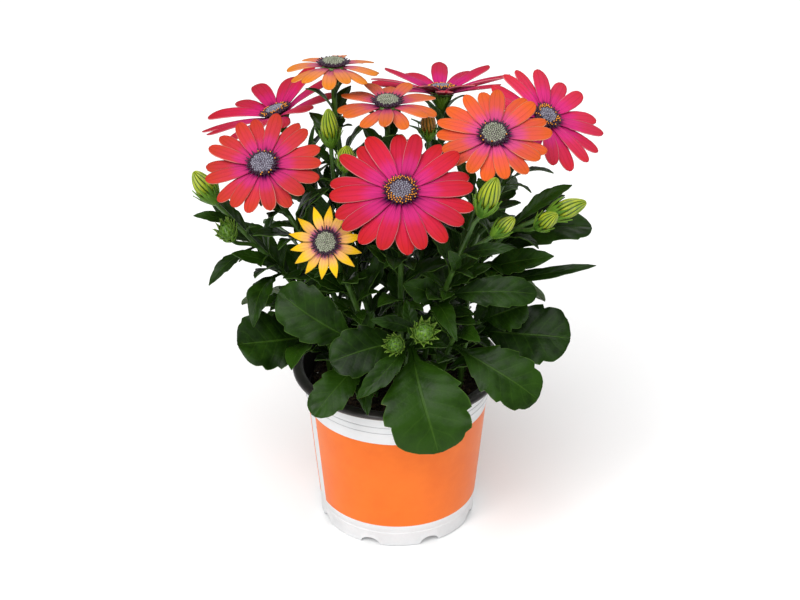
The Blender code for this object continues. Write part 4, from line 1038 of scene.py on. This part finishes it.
# Leaves round a stem, each a golden angle on from the last.
def turnedLeaves(models, path, sets, number):
    made = []
    for count, first, last, turn, length, start, opened, kind in sets:
        lean = math.radians(opened)
        for index in range(count):
            t = first + (last - first) * index / (count - 1)
            base, ahead = bezierAt(path, t), onwards(path, t)
            away = sideways(ahead, math.radians(turn) + index * goldenAngle)
            reach = length * (1 - growth["shrink"] * index / count)
            tip = base + (away * math.sin(lean) + ahead * math.cos(lean)) * reach
            width = reach * leafKinds[kind]["slim"]
            made.append(shapedLeaf(models, kind, base, tip, width, growth["arch"], 0, ahead,
                                   start + number + index))
    return made


# The stem starts deeper than its path, inside its hole.
def rootedStem(path, thin):
    return roundStem((path[0] - Vector((0, 0, growth["holeDepth"])), *path[1:]), growth["stem"], thin)


def makeStalk(name, number, models, paints):
    stalk, bloom = stalks[name], blooms[name]
    low = Vector((*stalk["hole"], growth["soilLevel"]))
    axis = facing(bloom)
    top = Vector(bloom["at"]) - axis * growth["neck"]
    path = (low, low + Vector((0, 0, stalk["rise"])), top - axis * stalk["reach"], top)
    thin = growth["stem"] * growth["taper"]
    stem = paintWith(rootedStem(path, thin), paints["stem"])
    first, last, turn, length = stalk["leaves"]
    # count, from, to, turn, length, number of the first, opening, kind
    sets = [(4, first, last, turn, length, 0, 62, "narrow"),
            (5, first + 0.05, last + 0.04, turn + 70, length * 0.8, 5, 62, "narrow"),
            (10, 0.04, 0.62, turn + 25, length * 1.55, 1000, 50, "middle"),
            (7, 0.4, 0.82, turn + 100, length * 1.7, 1300, 42, "middle")]
    if name in crownLeaves:
        count, first, last, start, opened = crownLeaves[name]
        sets.append((count, first, last, turn + growth["crownTurn"], growth["crownLength"], start, opened,
                     "middle"))
    leaves = thickened(turnedLeaves(models, path, sets, number * 10), growth["leafThickness"],
                       paints["smallLeaf"], paints["leafUnder"])
    cup = placed(models["calyx"], "calyx", leanTo(bloom["at"], axis))
    made = joined([stem, leaves, cup, stemHairs(models, paints, path, thin, number)], name + "_stalk")
    finished(made, "stalk_" + name, growth["edgeDegrees"])


def makeShoot(name, number, models, paints):
    hole, end, aim, leafList = shoots[name]
    low, end = Vector((*hole, growth["soilLevel"])), Vector(end)
    reach = (end - low).length * growth["shootReach"]
    aim = Vector(aim).normalized()
    path = (low, low + Vector((0, 0, reach)), end - aim * reach, end)
    stems = [rootedStem(path, growth["twig"])]
    leaves = [shapedLeaf(models, kind, bezierAt(path, t), tip, width, arch, turn, outwardHint(tip),
                         400 + number * 12 + index)
              for index, (t, tip, width, kind, arch, turn) in enumerate(leafList)]
    sets = [(count, first, last, ownTurn * number + turn, *others)
            for word, rows in shootSets.items() if word in name
            for count, first, last, ownTurn, turn, *others in rows]
    leaves += turnedLeaves(models, path, sets, number * 8)
    parts = [thickened(leaves, growth["leafThickness"], paints["leafTop"], paints["leafUnder"])]
    carried = [bud[1:6] for bud in buds.values() if bud[0] == name]
    carried += [(*head[1:], head[4] * 2) for head in heads.values() if head[0] == name]
    for t, at, axis, radius, length in carried:
        axis = Vector(axis).normalized()
        foot = Vector(at) - axis * (length / 2 + growth["cupGap"])
        start = bezierAt(path, t)
        twigEnd = foot - axis * radius
        pull = (twigEnd - start).length * growth["twigPull"]
        ahead = (start - bezierAt(path, t - 0.02)).normalized()
        twig = (start - ahead * growth["twigSunk"], start + ahead * pull, twigEnd - axis * pull,
                foot - axis * radius * 0.3)
        stems.append(roundStem(twig, growth["twig"], growth["twig"]))
        parts.append(placed(models["budCup"], "budCup", leanTo(foot, axis) @ Matrix.Scale(radius, 4)))
    parts.append(stemHairs(models, paints, path, growth["twig"], 20 + number))
    stem = paintWith(joined(stems, "stems"), paints["stem"])
    made = joined([stem, *parts], name + "_growth")
    finished(made, name, growth["edgeDegrees"])


bractForm = {"strip": (4, 10), "flare": 0.4, "hollow": 0.12, "taper": 0.55, "thickness": 0.09}


# Bracts in a ring: spots are (radius, height) from root to tip.
def bractRing(models, paints, count, start, width, spots, index):
    made = []
    for number in range(count):
        around = start + number * 2 * math.pi / count
        out = outAt(around)
        side = Vector((-out.y, out.x, 0))
        draw = random.Random(index * 50 + number)
        flare, long = draw.uniform(-0.12, 0.22), draw.uniform(0.9, 1.06)

        def place(along, across):
            reach = along * long * (len(spots) - 1)
            step = min(int(reach), len(spots) - 2)
            radius, height = Vector(spots[step]).lerp(Vector(spots[step + 1]), reach - step)
            half = math.sin(math.pi * (0.2 + 0.8 * along) ** 0.8) * (1 - along * bractForm["taper"]) + 0.03
            radius += flare * along ** 3 * abs(spots[-1][1] - spots[0][1]) * bractForm["flare"]
            radius -= bractForm["hollow"] * width * across * across
            return out * radius + side * across * half * width / 2 + Vector((0, 0, height))

        made.append(shapedStrip(models["bract"], "bract", place, number))
    return thickened(made, width * bractForm["thickness"], paints["bract"])


cupForms = {
    # sides, the cup's own rings, and its rings of bracts: count, start, width, spots, number
    "calyx": (32, ((1.2, -10.6), (1.75, -9.8), (2.3, -8.6), (3.4, -6.8), (4.6, -4.8), (5.4, -3), (5.7, -2),
                   (5.4, -1.9)),
              ((11, 0, 3.4, ((1.9, -10), (3.6, -7.4), (5.4, -4.6), (6.3, -2.4), (7.2, -1.7)), 1),
               (11, 0.28, 3.4, ((2.2, -9.4), (3.9, -6.6), (5.6, -4), (6.2, -2.2), (6.9, -1.8)), 2))),
    "budCup": (24, ((0.2, -1.05), (0.3, -0.9), (0.5, -0.6), (0.74, -0.25), (0.84, 0)),
               ((9, 0, 0.6, ((0.36, -0.8), (0.72, -0.3), (0.95, 0.2), (1.06, 0.8), (1.1, 1.3)), 3),
                (9, 0.35, 0.5, ((0.4, -0.8), (0.76, -0.3), (1.0, 0.1), (1.14, 0.5), (1.3, 0.9)), 4))),
}
headRows = (
    # count, start, width, spots, number
    (11, 0, 0.62, ((0.85, -0.55), (1.15, -0.1), (1.35, 0.45), (1.6, 0.95)), 5),
    (10, 0.5, 0.6, ((0.8, -0.1), (1.0, 0.4), (1.12, 0.85), (1.25, 1.35)), 6),
    (8, 1.0, 0.55, ((0.7, 0.3), (0.85, 0.75), (0.85, 1.1), (0.75, 1.5)), 7),
    (6, 1.5, 0.45, ((0.4, 0.7), (0.55, 1.0), (0.45, 1.25), (0.2, 1.45)), 8),
)
hubRings = ((5.2, -1.7), (6.3, -1.5), (6.4, 0.2), (5.4, 0.7))
cushionRings = ((0.9, 0), (0.97, 0.5), (0.97, 0.9), (0.84, 1.6), (0.62, 2.25), (0.34, 2.6), (0.08, 2.7))
budForm = {"ridges": 12, "ridgeDepth": 0.2, "ridgePower": 0.7, "twist": 0.6, "belly": 1.06, "taper": 0.36,
           "crown": 0.05, "segments": 96, "rings": 24}
budDegrees = 60


# A closed bud of unit size, with twisted ridges that the paint reads.
def budModel():
    form = budForm
    deselectAll()
    bpy.ops.mesh.primitive_uv_sphere_add(segments=form["segments"], ring_count=form["rings"], radius=1)
    bud = bpy.context.object
    ridges = bud.data.attributes.new("ridge", "FLOAT", "POINT")
    for vert in bud.data.vertices:
        height = (vert.co.z + 1) / 2
        around = math.atan2(vert.co.y, vert.co.x) + form["twist"] * height
        ridge = abs(math.sin(around * form["ridges"] / 2)) ** form["ridgePower"]
        ridges.data[vert.index].value = ridge
        belly = (form["belly"] - form["taper"] * height) * (1 - form["ridgeDepth"] * (1 - ridge))
        vert.co = (vert.co.x * belly, vert.co.y * belly, height - 0.5 + form["crown"] * ridge * height ** 6)
    return bud


# What repeats, made once.
def makeModels(paints):
    models = {"ray": flatStrip(*rayForm["strip"]), "bract": flatStrip(*bractForm["strip"])}
    for kind, form in leafKinds.items():
        models[kind] = flatStrip(*form["strip"])
    models["hub"] = turnedForm(hubRings, 32)
    models["cushion"] = turnedForm(cushionRings, 40)
    deselectAll()
    bpy.ops.mesh.primitive_uv_sphere_add(segments=7, ring_count=5, radius=1)
    models["floret"] = bpy.context.object
    deselectAll()
    bpy.ops.mesh.primitive_ico_sphere_add(subdivisions=1, radius=1)
    models["grain"] = bpy.context.object
    deselectAll()
    bpy.ops.mesh.primitive_cone_add(vertices=3, radius1=hairForm["thick"], depth=1, location=(0, 0, 0.5))
    models["hair"] = atOrigin(bpy.context.object)
    for name, (sides, rings, rows) in cupForms.items():
        cup = paintWith(turnedForm(rings, sides), paints["cup"])
        models[name] = joined([cup, *(bractRing(models, paints, *row) for row in rows)], name)
    models["bud"] = budModel()
    deselectAll()
    bpy.ops.mesh.primitive_uv_sphere_add(segments=32, ring_count=16, radius=1)
    core = paintWith(bpy.context.object, paints["cup"])
    models["head"] = joined([core, *(bractRing(models, paints, *row) for row in headRows)], "headModel")
    print("models:", len(models))
    return models


def makeBuds(models, paints):
    for name, (_, _, at, axis, radius, length, finish) in buds.items():
        made = paintWith(copyOf(models["bud"], name + "_closed"), paints[finish])
        finished(made, name, budDegrees,
                 leanTo(at, axis) @ Matrix.Diagonal((radius, radius, length, 1)))
    for name, (_, _, at, axis, radius) in heads.items():
        made = copyOf(models["head"], name + "_bracts")
        finished(made, name, budDegrees, leanTo(at, axis) @ Matrix.Scale(radius, 4))
    print("buds and heads:", len(buds) + len(heads))


setUpStudio()
paints = makePaints()
models = makeModels(paints)
makePot(paints)
makeSoil(paints)
for number, (name, bloom) in enumerate(blooms.items()):
    makeRays(name, bloom, number, models, paints)
    makeDisc(name, bloom, number, models, paints)
    makeStalk(name, number, models, paints)
    print("bloom:", name)
for number, name in enumerate(shoots):
    makeShoot(name, number, models, paints)
print("shoots and branches:", len(shoots))
makeBuds(models, paints)
for model in models.values():
    bpy.data.objects.remove(model, do_unlink=True)
deselectAll()
